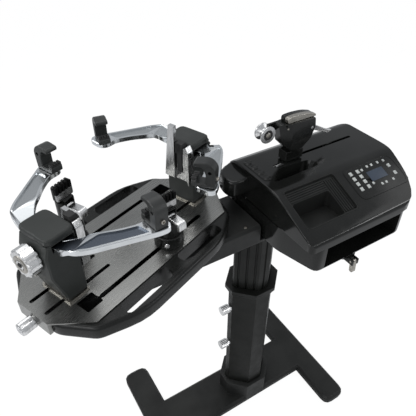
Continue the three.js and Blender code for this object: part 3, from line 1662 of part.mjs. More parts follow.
function guideFrame() {
  const level = guide.rodLevel;
  const [low, high] = [level - guide.blockHeight / 2, level + guide.blockHeight / 2];
  const ends = [guide.start, guide.end].map((x) => block(x, x + guide.blockThickness,
    -guide.blockHalfWidth, guide.blockHalfWidth, low, high));
  const rods = [-1, 1].map((side) => alongX(rod(guide.rodRadius, guide.start + overrun,
    guide.end + overrun), 0, guide.rodAt * side, level));
  const feet = [guide.start, guide.end].map((x) => block(x, x + guide.blockThickness,
    -guide.blockHalfWidth, guide.blockHalfWidth, unit.bottom + unit.wall + touch, low + overrun));
  const inner = slot.leverWidth / 2 + touch;
  const ears = [-1, 1].map((side) => {
    const faces = [inner * side, (inner + guide.earThickness) * side];
    return block(slot.leverX - guide.earHalf, slot.leverX + guide.earHalf,
      slot.leverY + Math.min(...faces), slot.leverY + Math.max(...faces), high - overrun,
      slot.leverPivot + guide.earHalf);
  });
  const pinReach = inner + guide.earThickness + overrun;
  const pinBore = alongY(rod(slot.leverPin + touch, -pinReach, pinReach), slot.leverX,
    slot.leverY, slot.leverPivot);
  const bore = alongX(rod(guide.screwRadius + touch, guide.start - overrun,
    guide.end + guide.blockThickness + overrun), 0, 0, level);
  return cut(join(...ends, ...rods, ...feet, ...ears), bore, pinBore);
}

function driveScrew() {
  const collar = guide.screwRadius + overrun;
  const from = guide.start + guide.blockThickness + touch;
  return alongX(join(
    rod(guide.screwRadius, guide.start + overrun, guide.end + guide.blockThickness - overrun, 20),
    rod(collar, from, from + overrun * 2, 20),
  ), 0, 0, guide.rodLevel);
}

function driveMotor() {
  const low = unit.bottom + unit.wall + touch;
  const start = guide.start + 2 * guide.blockThickness;
  const body = alongX(rod(guide.motorRadius, start, start + guide.motorLength, 32), 0, 0,
    low + guide.motorRadius);
  const foot = block(start, start + guide.motorLength, -guide.motorFootHalf,
    guide.motorFootHalf, low, low + guide.motorFootHeight);
  const shaft = alongX(rod(guide.screwRadius, start + guide.motorLength - overrun,
    start + guide.motorLength + guide.blockThickness, 16), 0, 0, low + guide.motorRadius);
  return join(body, foot, shaft);
}

function gripperCarriage() {
  const half = grip.carriageHalfLength;
  const body = block(-half, half, -grip.carriageHalfWidth, grip.carriageHalfWidth,
    grip.carriageBottom, grip.carriageTop);
  const neck = plate(roundedBox(-grip.neckHalfLength, grip.neckHalfLength, -grip.neckHalfWidth,
    grip.neckHalfWidth, grip.neckHalfWidth), grip.carriageTop - overrun, grip.neckBottom);
  const head = plate(roundedBox(-grip.neckHalfLength, grip.neckHalfLength,
    -grip.neckWide, grip.neckWide, grip.neckHalfWidth), grip.neckBottom - overrun,
  grip.bodyBottom - touch, touch * 2);
  const bores = [-1, 1].map((side) => alongX(rod(guide.rodRadius + touch, -half - overrun,
    half + overrun), 0, guide.rodAt * side, guide.rodLevel));
  const screwBore = alongX(rod(guide.screwRadius + touch, -half - overrun, half + overrun), 0, 0,
    guide.rodLevel);
  return cut(join(body, neck, head), ...bores, screwBore);
}

const gripper = new THREE.Group();
gripper.position.x = grip.restX;
head.add(gripper);

// The body carries the back bar; it narrows in front towards the pulley, which turns on a pin
// at the end of a side arm
function gripperBody() {
  const half = grip.bodyHalfWidth;
  const [left, right] = [-grip.bodyLeft, grip.bodyRight];
  const shape = rounded([
    [left, grip.bodyTop - overrun * 2], [left + grip.bodyWaistIn, grip.bodyWaist],
    [-grip.bodyFlatStart, grip.bodyBottom], [grip.bodyFlatEnd, grip.bodyBottom],
    [grip.bodyFlank, grip.bodyWaist - overrun * 2], [right, grip.bodyShoulder],
    [right - overrun * 2, grip.bodyTop], [left + grip.noseCut, grip.bodyTop],
  ], overrun * 3);
  const casing = wall(shape, -half, half, overrun);
  const corner = plate(outline([
    [left - overrun, -half - overrun], [-grip.bodyFlatStart, -half - overrun],
    [left - overrun, -half + grip.noseCut + overrun],
  ]), grip.bodyBottom - overrun, grip.bodyTop + overrun);
  const [out, level, eye] = [grip.pulleyOut, grip.pulleyLevel, grip.pulleyBore * 2];
  const sideArm = wall(rounded([
    [left + grip.noseCut, grip.bodyTop - overrun], [left + grip.noseCut, grip.bodyShoulder],
    [-out, level - eye], [-out - eye, level], [-out, level + eye],
  ], overrun * 2), half - grip.armThickness, half);
  const pin = alongY(rod(grip.pulleyBore - touch, -grip.pulleyHalfWidth, half - overrun), -out, 0,
    level);
  const y0 = grip.jawGap / 2;
  const bar = wall(jawOutline(), y0, y0 + grip.jawHalfWidth * 2, touch * 2);
  const hub = grip.wingHub + 4 * touch;
  const side = grip.wingThickness / 2 + touch;
  const gap = block(grip.wingAt - hub, right + overrun, -side, side,
    grip.wingLevel - 2 * hub, grip.wingLevel + grip.wingGapTop);
  const pinHole = alongY(rod(grip.wingPin + touch, -half - overrun, half + overrun), grip.wingAt,
    0, grip.wingLevel);
  return cut(join(cut(casing, corner), sideArm, pin, bar), gap, pinHole);
}

// The bars seen from the front: full height at the pulley's end, falling away to the right
function jawOutline() {
  const low = grip.bodyTop - overrun / 2;
  const [left, right] = [-grip.jawLeft, grip.jawRight - overrun * 2];
  return rounded([
    [left, low], [right, low], [right, low + grip.jawTipHeight],
    [right / 2, low + grip.jawHeight * grip.jawShares[0]], [left / 3, low + grip.jawHeight],
    [left, low + grip.jawHeight * grip.jawShares[1]],
  ], [grip.jawTipHeight, 0, grip.jawTipHeight, grip.jawHeight, grip.jawHeight, grip.jawTipHeight]);
}

function gripperJaw() {
  const y1 = -grip.jawGap / 2;
  const bar = wall(jawOutline(), y1 - grip.jawHalfWidth * 2, y1, touch * 2);
  return bar.translate([0, 0, overrun / 2 + touch]);
}

function gripperPulley() {
  const [wide, waist, bore] = [grip.pulleyRadius, grip.pulleyWaist, grip.pulleyBore];
  const half = grip.pulleyHalfWidth - touch;
  const [flank, floor] = grip.pulleyShares.map((share) => share * half);
  const slope = grip.pulleySlope;
  const profile = [
    [bore, -half], [wide, -half], [wide, -flank], [waist + slope, -floor], [waist, 0],
    [waist + slope, floor], [wide, flank], [wide, half], [bore, half], [bore, -half],
  ];
  return alongY(turned(profile, 24));
}

function wingLever() {
  const half = grip.wingThickness / 2;
  const hubDisc = alongY(rod(grip.wingHub, -half, half, 20));
  const pin = alongY(rod(grip.wingPin, -grip.bodyHalfWidth, grip.bodyHalfWidth));
  const [length, drop, tip] = [grip.wingLength, grip.wingDrop, grip.wingTip];
  const [deep, rise, corner] = grip.wingTipShares.map((share) => share * tip);
  const blade = wall(rounded([
    [0, -grip.wingHub], [length * grip.wingBendShare, -drop - deep], [length, -drop + rise],
    [length * grip.wingHeelShare, -drop + tip], [0, grip.wingHub * grip.wingRootShare],
  ], corner), -half, half, touch * 2);
  return join(hubDisc, pin, blade);
}

add("guide_frame", guideFrame(), colours.steel, head);
add("drive_screw", driveScrew(), colours.steel, head);
add("drive_motor", driveMotor(), colours.steel, head);
add("gripper_carriage", gripperCarriage(), colours.gloss, gripper);
add("gripper_body", gripperBody(), colours.gloss, gripper);
add("gripper_jaw", gripperJaw(), colours.steel, gripper);
add("gripper_pulley", gripperPulley(), colours.silver, gripper).position.set(-grip.pulleyOut, 0,
  grip.pulleyLevel);
add("wing_lever", wingLever(), colours.silver, gripper).position.set(grip.wingAt, 0,
  grip.wingLevel);

// Release lever: a small bright tab in its own slot beside the carriage, on a pivot below
function releaseLever() {
  const [eye, stem, tab] = [slot.leverEye, slot.leverStem / 2, slot.tabLength / 2];
  const top = unit.top + slot.tabStand - slot.leverPivot;
  const under = top - slot.tabThickness;
  const shape = outline([
    [-stem, 0], [stem, 0], [stem, under], [tab, under], [tab, top], [-tab, top], [-tab, under],
    [-stem, under],
  ]);
  const half = slot.leverWidth / 2;
  const reach = half + touch + guide.earThickness;
  return join(wall(shape, -half, half), alongY(rod(eye, -half, half, 20)),
    alongY(rod(slot.leverPin, -reach, reach)));
}

add("release_lever", releaseLever(), colours.silver, head).position.set(slot.leverX, slot.leverY,
  slot.leverPivot);

export default machine;
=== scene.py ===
# %% [markdown]
# This lesson dresses a racket stringing machine: a turning deck with two clawed towers and two
# string clamps stands beside a powered tension unit on an octagonal column. The solids come in
# first as a fixed frame. They could all be modelled again here, but their sizes are already
# right, so they stay and get soft edges and real finishes, and the small fittings are added.

# %% Load the frame
import json
import math
import bmesh
import bpy
from mathutils import Matrix, Vector


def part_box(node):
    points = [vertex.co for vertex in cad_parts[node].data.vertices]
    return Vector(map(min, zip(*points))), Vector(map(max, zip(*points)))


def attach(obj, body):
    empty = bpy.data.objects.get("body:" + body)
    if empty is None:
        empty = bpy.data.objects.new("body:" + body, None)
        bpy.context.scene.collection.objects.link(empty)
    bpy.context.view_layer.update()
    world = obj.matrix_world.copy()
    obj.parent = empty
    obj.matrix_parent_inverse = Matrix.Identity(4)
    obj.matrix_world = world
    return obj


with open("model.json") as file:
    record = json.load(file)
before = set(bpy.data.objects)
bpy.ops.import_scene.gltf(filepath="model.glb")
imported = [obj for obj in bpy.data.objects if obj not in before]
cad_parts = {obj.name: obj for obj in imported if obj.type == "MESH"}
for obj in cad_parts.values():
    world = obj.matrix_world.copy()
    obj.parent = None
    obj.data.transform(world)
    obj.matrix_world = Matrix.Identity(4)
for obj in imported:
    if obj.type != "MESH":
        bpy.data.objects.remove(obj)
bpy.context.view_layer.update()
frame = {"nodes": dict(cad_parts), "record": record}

nodes = frame["nodes"]
behaviour = frame["record"]["behaviour"]
body_of_node = {node: body for body, members in behaviour["bodies"].items() for node in members}

# %% [markdown]
# The camera stands above the operator's left shoulder and looks down at the deck. It could be
# aimed with a constraint, but a place and two angles say the same and stay put: the heading is
# measured from straight ahead towards the right, and the tilt from the horizon downwards.

# %% Camera
camera_place = Vector((-0.6365, -0.7738, 1.6636))
camera_heading = math.radians(-31.5)
camera_tilt = math.radians(38.3)
straight_down_to_level = math.radians(90)
lens_length = 39.29                    # in mm, as a lens's sizes are
sensor_width = 36
camera_data = bpy.data.cameras.new("view_over_deck")
camera_data.lens = lens_length
camera_data.sensor_width = sensor_width
camera = bpy.data.objects.new("view_over_deck", camera_data)
camera.location = camera_place
camera.rotation_euler = (straight_down_to_level - camera_tilt, 0, camera_heading)
scene = bpy.context.scene
scene.collection.objects.link(camera)
scene.camera = camera
print("camera", tuple(round(value, 3) for value in camera_place))

# %% [markdown]
# The light is a photographer's white room: a broad soft panel overhead, fill panels on the
# operator's side and on the right, two narrow strips that draw bright lines along rounded edges,
# and a low panel behind for the arms and the far edges. Lamps with a softened spot could do it,
# but only a panel has a plain shape that a glossy case can mirror. Each takes its width, depth
# and power by name.

# %% Soft panels
scene.view_settings.view_transform = "Standard"
machine_middle = Vector((-0.2, 0.0, 0.95))


def soft_panel(name, place, width, depth, watts):
    data = bpy.data.lights.new(name, "AREA")
    data.shape = "RECTANGLE"
    data.size = width
    data.size_y = depth
    data.energy = watts
    panel = bpy.data.objects.new(name, data)
    panel.location = place
    panel.rotation_euler = (machine_middle - Vector(place)).to_track_quat("-Z", "Y").to_euler()
    scene.collection.objects.link(panel)
    return panel


soft_panel("overhead_panel", (-0.3, 0.5, 2.9), width=2.2, depth=1.6, watts=15)
soft_panel("fill_panel", (-1.9, -1.3, 1.9), width=1.4, depth=1.4, watts=7)
soft_panel("right_panel", (1.9, -0.8, 1.8), width=1.0, depth=1.6, watts=5)
soft_panel("left_strip", (-1.6, 0.1, 2.0), width=2.4, depth=0.3, watts=13)
soft_panel("front_strip", (1.2, -1.7, 1.9), width=1.6, depth=0.16, watts=6)
back_panel = soft_panel("back_panel", (0.3, 2.4, 1.0), width=3.6, depth=0.8, watts=6)
back_panel.visible_camera = False

# %% [markdown]
# White behind the machine comes from what camera rays alone see of the world, so that it adds no
# light. A white backdrop would do it too, but it would show in every glossy case. Everything
# else meets a plain, slightly cool room of half that strength.

# %% White background
room_tint = (0.93, 0.96, 1.0, 1)
room_strength = 0.5


def seen_white(tree, plain, white, output, share=1.0):
    """Shows white to camera rays, and the plain shader to all others. With a share below 1, some
    of the plain shader stays, and with it the machine's shadow."""
    path = tree.nodes.new("ShaderNodeLightPath")
    part = tree.nodes.new("ShaderNodeMath")
    part.operation = "MULTIPLY"
    part.inputs[1].default_value = share
    tree.links.new(path.outputs["Is Camera Ray"], part.inputs[0])
    mix = tree.nodes.new("ShaderNodeMixShader")
    tree.links.new(part.outputs[0], mix.inputs["Fac"])
    tree.links.new(plain.outputs[0], mix.inputs[1])
    tree.links.new(white.outputs[0], mix.inputs[2])
    tree.links.new(mix.outputs[0], output.inputs["Surface"])


world = bpy.data.worlds.new("white_room")
scene.world = world
world.use_nodes = True
room = world.node_tree
room.nodes.clear()
room_light = room.nodes.new("ShaderNodeBackground")
room_light.inputs["Color"].default_value = room_tint
room_light.inputs["Strength"].default_value = room_strength
room_white = room.nodes.new("ShaderNodeBackground")
room_white.inputs["Color"].default_value = (1, 1, 1, 1)
seen_white(room, room_light, room_white, room.nodes.new("ShaderNodeOutputWorld"))
print("room strength", room_strength)

# %% [markdown]
# The floor is one plain grid. It is white to the camera for the most part, and the rest of its
# share is ordinary pale paint, which keeps the shadow. A bigger share of paint would show more
# shadow and a greyer floor.

# %% Pale floor
floor_reach = 7
floor_colour = (0.9, 0.9, 0.9, 1)
floor_roughness = 0.9
floor_white_share = 0.9
floor_white_strength = 1.06
floor_mesh = bpy.data.meshes.new("pale_floor")
floor_shape = bmesh.new()
bmesh.ops.create_grid(floor_shape, x_segments=1, y_segments=1, size=floor_reach)
floor_shape.to_mesh(floor_mesh)
floor_shape.free()
floor = bpy.data.objects.new("pale_floor", floor_mesh)
scene.collection.objects.link(floor)
floor_finish = bpy.data.materials.new("pale_floor")
floor_finish.use_nodes = True
floor_mesh.materials.append(floor_finish)
floor_tree = floor_finish.node_tree
floor_paint = floor_tree.nodes["Principled BSDF"]
floor_paint.inputs["Base Color"].default_value = floor_colour
floor_paint.inputs["Roughness"].default_value = floor_roughness
floor_white = floor_tree.nodes.new("ShaderNodeEmission")
floor_white.inputs["Strength"].default_value = floor_white_strength
seen_white(floor_tree, floor_paint, floor_white, floor_tree.nodes["Material Output"],
           floor_white_share)
print("floor", 2 * floor_reach, "m square")

# %% [markdown]
# Every finish here is one of three kinds: moulded or painted (a fine grain, slow changes of
# colour and gloss), metal with a drawn grain (the same noise stretched along one direction), and
# polished metal (nearly even, with faint swirls). Image textures could do this, but noise on
# Object coordinates has no seams and follows any shape. A number that is even all over the
# surface is set on the shader's own socket. These five helpers are what all of them share.

# %% Parts of a finish


def finish_start(name, metallic, specular=0.5, anisotropy=0.0):
    material = bpy.data.materials.new(name)
    material.use_nodes = True
    tree = material.node_tree
    shader = tree.nodes["Principled BSDF"]
    shader.inputs["Metallic"].default_value = metallic
    shader.inputs["Specular IOR Level"].default_value = specular
    shader.inputs["Anisotropic"].default_value = anisotropy
    return material, tree, shader


def grain(tree, scale, detail=4, stretch=(1, 1, 1), turn=0.0):
    """Noise on Object coordinates, stretched along the piece's own direction."""
    place = tree.nodes.new("ShaderNodeTexCoord")
    mapping = tree.nodes.new("ShaderNodeMapping")
    mapping.vector_type = "TEXTURE"
    mapping.inputs["Rotation"].default_value = (0, 0, turn)
    mapping.inputs["Scale"].default_value = stretch
    noise = tree.nodes.new("ShaderNodeTexNoise")
    noise.inputs["Scale"].default_value = scale
    noise.inputs["Detail"].default_value = detail
    tree.links.new(place.outputs["Object"], mapping.inputs["Vector"])
    tree.links.new(mapping.outputs["Vector"], noise.inputs["Vector"])
    return noise.outputs["Fac"]


def spread(tree, value, low, high, start=0.35, end=0.65):
    """Maps a value to a range. The start and end given here hold most of what noise gives."""
    span = tree.nodes.new("ShaderNodeMapRange")
    span.inputs["From Min"].default_value = start
    span.inputs["From Max"].default_value = end
    span.inputs["To Min"].default_value = low
    span.inputs["To Max"].default_value = high
    tree.links.new(value, span.inputs["Value"])
    return span.outputs["Result"]


def colours_between(tree, value, first, second):
    blend = tree.nodes.new("ShaderNodeMix")
    blend.data_type = "RGBA"
    blend.inputs["A"].default_value = (*first, 1)
    blend.inputs["B"].default_value = (*second, 1)
    tree.links.new(value, blend.inputs["Factor"])
    return blend.outputs["Result"]


def relief(tree, shader, value, height):
    bump = tree.nodes.new("ShaderNodeBump")
    bump.inputs["Distance"].default_value = height
    bump.inputs["Strength"].default_value = 1.0
    tree.links.new(value, bump.inputs["Height"])
    tree.links.new(bump.outputs["Normal"], shader.inputs["Normal"])


print("parts of a finish: start, grain, spread, colours, relief")

# %% [markdown]
# Plastic, rubber and paint differ only in their numbers: how dark, how rough, how fine the pebble
# grain is and how much paler the handled edges have become. The worn edges could be painted by
# hand, but Pointiness finds every one of them by itself.

# %% Plastic, rubber and paint
wear_start, wear_full = 0.52, 0.62     # Pointiness, which is 0.5 on a flat face
bare_gain, bare_lift = 3, 0.05         # how much paler than the finish its bare edge is
cloud_scale, gloss_scale = 9, 26       # noise per metre: slow tone, quicker gloss


def worn_edges(tree, colour, bare, amount):
    """Pales the colour a little where the surface turns over an edge."""
    surface = tree.nodes.new("ShaderNodeNewGeometry")
    edge = spread(tree, surface.outputs["Pointiness"], 0.0, amount, wear_start, wear_full)
    blend = tree.nodes.new("ShaderNodeMix")
    blend.data_type = "RGBA"
    blend.inputs["B"].default_value = (*bare, 1)
    tree.links.new(edge, blend.inputs["Factor"])
    tree.links.new(colour, blend.inputs["A"])
    return blend.outputs["Result"]


def moulded(name, dark, pale, rough, pebble, height, specular=0.5, wear=0.0):
    """Slow changes of tone and gloss under a fine pebble grain."""
    material, tree, shader = finish_start(name, 0.0, specular)
    clouds = grain(tree, cloud_scale, detail=3)
    colour = colours_between(tree, spread(tree, clouds, 0, 1), dark, pale)
    if wear > 0:
        bare = tuple(min(1, bare_gain * part + bare_lift) for part in pale)
        colour = worn_edges(tree, colour, bare, wear)
    tree.links.new(colour, shader.inputs["Base Color"])
    gloss = spread(tree, grain(tree, gloss_scale, detail=6), rough[0], rough[1])
    tree.links.new(gloss, shader.inputs["Roughness"])
    relief(tree, shader, grain(tree, pebble, detail=2), height)
    return material


print("wear from", wear_start, "to", wear_full)

# %% [markdown]
# Bare metal shows how it was worked: a brushed plate has its lines along the deck, a turned part
# faint rings, a polished arm almost nothing. One grain drives colour, gloss and fine relief
# together, which looks more like metal than three noises that know nothing of each other.

# %% Metals
deck_turn = math.radians(21.7)
metal_cloud_scale = 7
line_tones, cloud_tones = (0.25, 1.0), (0.6, 1.0)      # each noise's least and greatest share


def metal(name, dark, pale, rough, scale, stretch=(1, 1, 1), turn=0.0, height=0.00002,
          anisotropy=0.0):
    """Bare metal: colour, gloss and fine relief follow one grain, drawn out along stretch."""
    material, tree, shader = finish_start(name, 1.0, anisotropy=anisotropy)
    lines = grain(tree, scale, 5, stretch, turn)
    clouds = grain(tree, metal_cloud_scale, detail=2)
    tone = tree.nodes.new("ShaderNodeMath")
    tone.operation = "MULTIPLY"
    tree.links.new(spread(tree, lines, *line_tones), tone.inputs[0])
    tree.links.new(spread(tree, clouds, *cloud_tones), tone.inputs[1])
    tree.links.new(colours_between(tree, tone.outputs[0], dark, pale),
                   shader.inputs["Base Color"])
    tree.links.new(spread(tree, lines, rough[1], rough[0]), shader.inputs["Roughness"])
    relief(tree, shader, lines, height)
    return material


print("deck grain turned", round(math.degrees(deck_turn), 1), "degrees")

# %% [markdown]
# Two parts change colour along their height. An arm is polished on its rim, and its recessed
# channel gets a painted tone: painted shade and dark reflection on the tip's near arm, and a paler
# painted light on the other arms. A clamp's jaw is bare steel with dark gritty teeth. They could
# be split into two pieces each, but a mask made from height, and for the channel from which way
# the face looks, lays the second colour over the first.

# %% Parts with two finishes, and the arms' painted channel tone
arm_rim_level = 1.1243
rim_softness = 0.0006
tooth_softness = 0.0008
level_face_start, level_face_full = 0.8, 0.95      # how much of a normal points up


def level_mask(tree, level, soft):
    """0 below a height in the frame and 1 above it."""
    place = tree.nodes.new("ShaderNodeTexCoord")
    parts = tree.nodes.new("ShaderNodeSeparateXYZ")
    tree.links.new(place.outputs["Object"], parts.inputs["Vector"])
    return spread(tree, parts.outputs["Z"], 0, 1, level - soft, level + soft)


def facing_up(tree):
    surface = tree.nodes.new("ShaderNodeNewGeometry")
    parts = tree.nodes.new("ShaderNodeSeparateXYZ")
    tree.links.new(surface.outputs["Normal"], parts.inputs["Vector"])
    return spread(tree, parts.outputs["Z"], 0, 1, level_face_start, level_face_full)


def recoloured(material, mask, colour, rough):
    """Lays another colour and gloss over a finish where the mask is 1."""
    tree = material.node_tree
    shader = tree.nodes["Principled BSDF"]
    blend = tree.nodes.new("ShaderNodeMix")
    blend.data_type = "RGBA"
    blend.inputs["B"].default_value = (*colour, 1)
    tree.links.new(mask, blend.inputs["Factor"])
    tree.links.new(shader.inputs["Base Color"].links[0].from_socket, blend.inputs["A"])
    tree.links.new(blend.outputs["Result"], shader.inputs["Base Color"])
    gloss = tree.nodes.new("ShaderNodeMix")
    gloss.inputs["B"].default_value = rough
    tree.links.new(mask, gloss.inputs["Factor"])
    tree.links.new(shader.inputs["Roughness"].links[0].from_socket, gloss.inputs["A"])
    tree.links.new(gloss.outputs["Result"], shader.inputs["Roughness"])
    return material


def polished_arm_painted_channel(name, painted_channel_tone):
    """Polished aluminium whose recessed channel gets a painted tone for its light and shade."""
    material = metal(name, (0.62, 0.64, 0.65), (0.88, 0.9, 0.92), rough=(0.1, 0.2), scale=34,
                     stretch=(3, 1, 1), turn=deck_turn)
    tree = material.node_tree
    # The painted light and shade cover the channel's floor: faces that look up and lie below the
    # rim's level.
    painted_channel_mask = tree.nodes.new("ShaderNodeMath")
    painted_channel_mask.operation = "SUBTRACT"
    painted_channel_mask.use_clamp = True
    tree.links.new(facing_up(tree), painted_channel_mask.inputs[0])
    tree.links.new(level_mask(tree, arm_rim_level, rim_softness), painted_channel_mask.inputs[1])
    return recoloured(material, painted_channel_mask.outputs[0], painted_channel_tone, rough=0.26)


def clamp_jaw(name, tooth_root):
    """Bare steel with a dark gritty coat on the teeth, which start at a height in the frame."""
    material = metal(name, (0.26, 0.26, 0.26), (0.55, 0.55, 0.55), rough=(0.2, 0.34), scale=500,
                     stretch=(8, 1, 1), height=0.00003)
    mask = level_mask(material.node_tree, tooth_root, tooth_softness)
    return recoloured(material, mask, (0.012, 0.012, 0.012), rough=0.6)


print("arm rim level", arm_rim_level)

# %% [markdown]
# Here is every finish of the machine with its numbers: the darkest and palest colour it moves
# between, its least and greatest roughness, the scale of its grain and the height of its relief
# in metres. The glossy case is the smoothest of the blacks and the ribbed rubber the dullest.

# %% The machine's finishes
finishes = {
    "painted": moulded("painted_casting", (0.012, 0.0125, 0.012), (0.022, 0.0225, 0.0215),
                       rough=(0.34, 0.5), pebble=900, height=0.00006, specular=0.22, wear=0.2),
    "column": moulded("painted_column", (0.006, 0.0065, 0.0055), (0.01, 0.0105, 0.0095),
                      rough=(0.34, 0.48), pebble=1100, height=0.00004, specular=0.2, wear=0.12),
    "gloss": moulded("gloss_case", (0.006, 0.0063, 0.0058), (0.0105, 0.011, 0.0102),
                     rough=(0.1, 0.18), pebble=1500, height=0.00001, specular=0.34),
    "moulded": moulded("moulded_black", (0.006, 0.0063, 0.0058), (0.011, 0.0115, 0.0108),
                       rough=(0.22, 0.32), pebble=1300, height=0.00003, specular=0.26, wear=0.1),
    "tray": moulded("tray_plastic", (0.012, 0.0125, 0.012), (0.019, 0.0195, 0.0185),
                    rough=(0.34, 0.46), pebble=1500, height=0.00003, specular=0.2),
    "cover": moulded("tower_cover", (0.024, 0.0265, 0.025), (0.036, 0.0385, 0.037),
                     rough=(0.42, 0.54), pebble=1800, height=0.00004, specular=0.28),
    "charcoal": moulded("cast_claw", (0.014, 0.015, 0.0145), (0.034, 0.0355, 0.035),
                        rough=(0.3, 0.46), pebble=700, height=0.00012, specular=0.3, wear=0.3),
    "rubber": moulded("ribbed_rubber", (0.008, 0.008, 0.008), (0.018, 0.018, 0.018),
                      rough=(0.6, 0.75), pebble=1600, height=0.00006),
    "key": moulded("membrane_key", (0.4, 0.42, 0.41), (0.5, 0.52, 0.5),
                   rough=(0.45, 0.6), pebble=2000, height=0.00003),
    "display": moulded("display_glass", (0.03, 0.04, 0.06), (0.05, 0.065, 0.09),
                       rough=(0.08, 0.16), pebble=300, height=0.00001, specular=0.3),
    "brushed": metal("brushed_plate", (0.25, 0.25, 0.24), (0.33, 0.33, 0.318),
                     rough=(0.24, 0.32), scale=900, stretch=(40, 1, 1), turn=deck_turn,
                     height=0.00001, anisotropy=0.5),
    # The two arm finishes differ only in their channel's painted tone: dark painted shade and
    # reflection for the tip's near arm, a paler painted light for the other arms.
    "near_arm": polished_arm_painted_channel("polished_near_arm", painted_channel_tone=(0.1, 0.115, 0.14)),
    "arm_pale_painted_channel": polished_arm_painted_channel("polished_arm_pale_painted_channel", painted_channel_tone=(0.5, 0.52, 0.53)),
    "near_jaw": clamp_jaw("near_clamp_jaw", tooth_root=1.073),
    "far_jaw": clamp_jaw("far_clamp_jaw", tooth_root=1.118),
    "silver": metal("bright_fitting", (0.55, 0.55, 0.55), (0.86, 0.86, 0.86),
                    rough=(0.16, 0.28), scale=240, stretch=(1, 1, 6)),
    "chrome": metal("chromed_cap", (0.45, 0.45, 0.46), (0.85, 0.85, 0.86),
                    rough=(0.08, 0.16), scale=60, height=0.00001),
    "steel": metal("machined_steel", (0.3, 0.285, 0.255), (0.5, 0.475, 0.43),
                   rough=(0.24, 0.38), scale=500, stretch=(8, 1, 1)),
}
print("finishes", ", ".join(sorted(finishes)))

# %% [markdown]
# Real mouldings and castings never have a razor edge, and it is the thin highlight along a
# rounded edge that makes them look real. First comes a small node group that shades smoothly
# everywhere but at sharp edges. The mesh's own sharp marks would do, but the solids' meshes
# stay untouched, and modifiers work on what they are given.

# %% Smooth shading by angle
sharp_edge = math.radians(32)


def smooth_by_angle():
    group = bpy.data.node_groups.new("smooth_by_angle", "GeometryNodeTree")
    group.interface.new_socket("Geometry", in_out="INPUT", socket_type="NodeSocketGeometry")
    group.interface.new_socket("Geometry", in_out="OUTPUT", socket_type="NodeSocketGeometry")
    start = group.nodes.new("NodeGroupInput")
    end = group.nodes.new("NodeGroupOutput")
    faces = group.nodes.new("GeometryNodeSetShadeSmooth")
    faces.domain = "FACE"
    edges = group.nodes.new("GeometryNodeSetShadeSmooth")
    edges.domain = "EDGE"
    edges.inputs["Shade Smooth"].default_value = False
    angle = group.nodes.new("GeometryNodeInputMeshEdgeAngle")
    sharp = group.nodes.new("FunctionNodeCompare")
    sharp.operation = "GREATER_THAN"
    sharp.inputs["B"].default_value = sharp_edge
    group.links.new(start.outputs[0], faces.inputs["Geometry"])
    group.links.new(faces.outputs["Geometry"], edges.inputs["Geometry"])
    group.links.new(angle.outputs["Unsigned Angle"], sharp.inputs["A"])
    group.links.new(sharp.outputs["Result"], edges.inputs["Selection"])
    group.links.new(edges.outputs["Geometry"], end.inputs[0])
    return group


shading = smooth_by_angle()
print("sharp from", round(math.degrees(sharp_edge)), "degrees")

# %% [markdown]
# The solids arrive as loose triangles, so each gets a Weld to close it, a planar Decimate to
# bring back its flat faces, a Bevel of its own width, the smooth shading, and weighted normals,
# so that a flat face stays flat in the light right up to its rounded edge.

# %% Soft edges
same_point = 0.00001
same_plane = math.radians(0.6)
bevelled_edge = math.radians(38)
bevel_steps = 2


def soften(thing, width):
    weld = thing.modifiers.new("close_the_mesh", "WELD")
    weld.merge_threshold = same_point
    flat = thing.modifiers.new("flat_faces", "DECIMATE")
    flat.decimate_type = "DISSOLVE"
    flat.angle_limit = same_plane
    if width > 0:
        bevel = thing.modifiers.new("soft_edges", "BEVEL")
        bevel.width = width
        bevel.segments = bevel_steps
        bevel.limit_method = "ANGLE"
        bevel.angle_limit = bevelled_edge
        bevel.use_clamp_overlap = True
    smooth = thing.modifiers.new("smooth_shading", "NODES")
    smooth.node_group = shading
    flats = thing.modifiers.new("level_flat_faces", "WEIGHTED_NORMAL")
    flats.keep_sharp = True
    flats.weight = 100


print("bevel from", round(math.degrees(bevelled_edge)), "degrees")

# %% [markdown]
# Now every solid gets its finish and the width of its rounded edges, in millimetres: heavy
# castings are well rounded, turned parts hardly at all, and the thread of the drive screw not.
# What the two ends and the two sides of the machine share is filled in by a loop.

# %% Finish and edges of each solid
mm = 0.001
finish_of_node = {
    "base_casting": ("painted", 2), "column_sleeve": ("column", 1.5),
    "column_mast": ("column", 0.6), "height_lock_knob": ("silver", 0.5),
    "travel_stop_knob": ("silver", 0.5), "head_casting": ("painted", 1.5),
    "pivot_bearing": ("steel", 0.5), "pivot_spindle": ("steel", 0.5),
    "deck_frame": ("moulded", 1.2), "deck_plate": ("brushed", 0.5),
    "tension_lower_case": ("gloss", 1.5), "tension_upper_case": ("gloss", 1.2),
    "tool_tray": ("tray", 0.5), "keypad_panel": ("gloss", 0.5),
    "key_mat": ("key", 0.3), "display_window": ("display", 0.3),
    "button_strip": ("gloss", 0.5), "guide_frame": ("steel", 0.5),
    "drive_screw": ("steel", 0), "drive_motor": ("steel", 0.5),
    "under_boss": ("moulded", 0.8), "under_lever": ("steel", 0.8),
    "release_lever": ("silver", 0.6), "gripper_carriage": ("gloss", 0.8),
    "gripper_body": ("gloss", 0.8), "gripper_jaw": ("steel", 1.2),
    "gripper_pulley": ("silver", 0.8), "wing_lever": ("silver", 1),
}
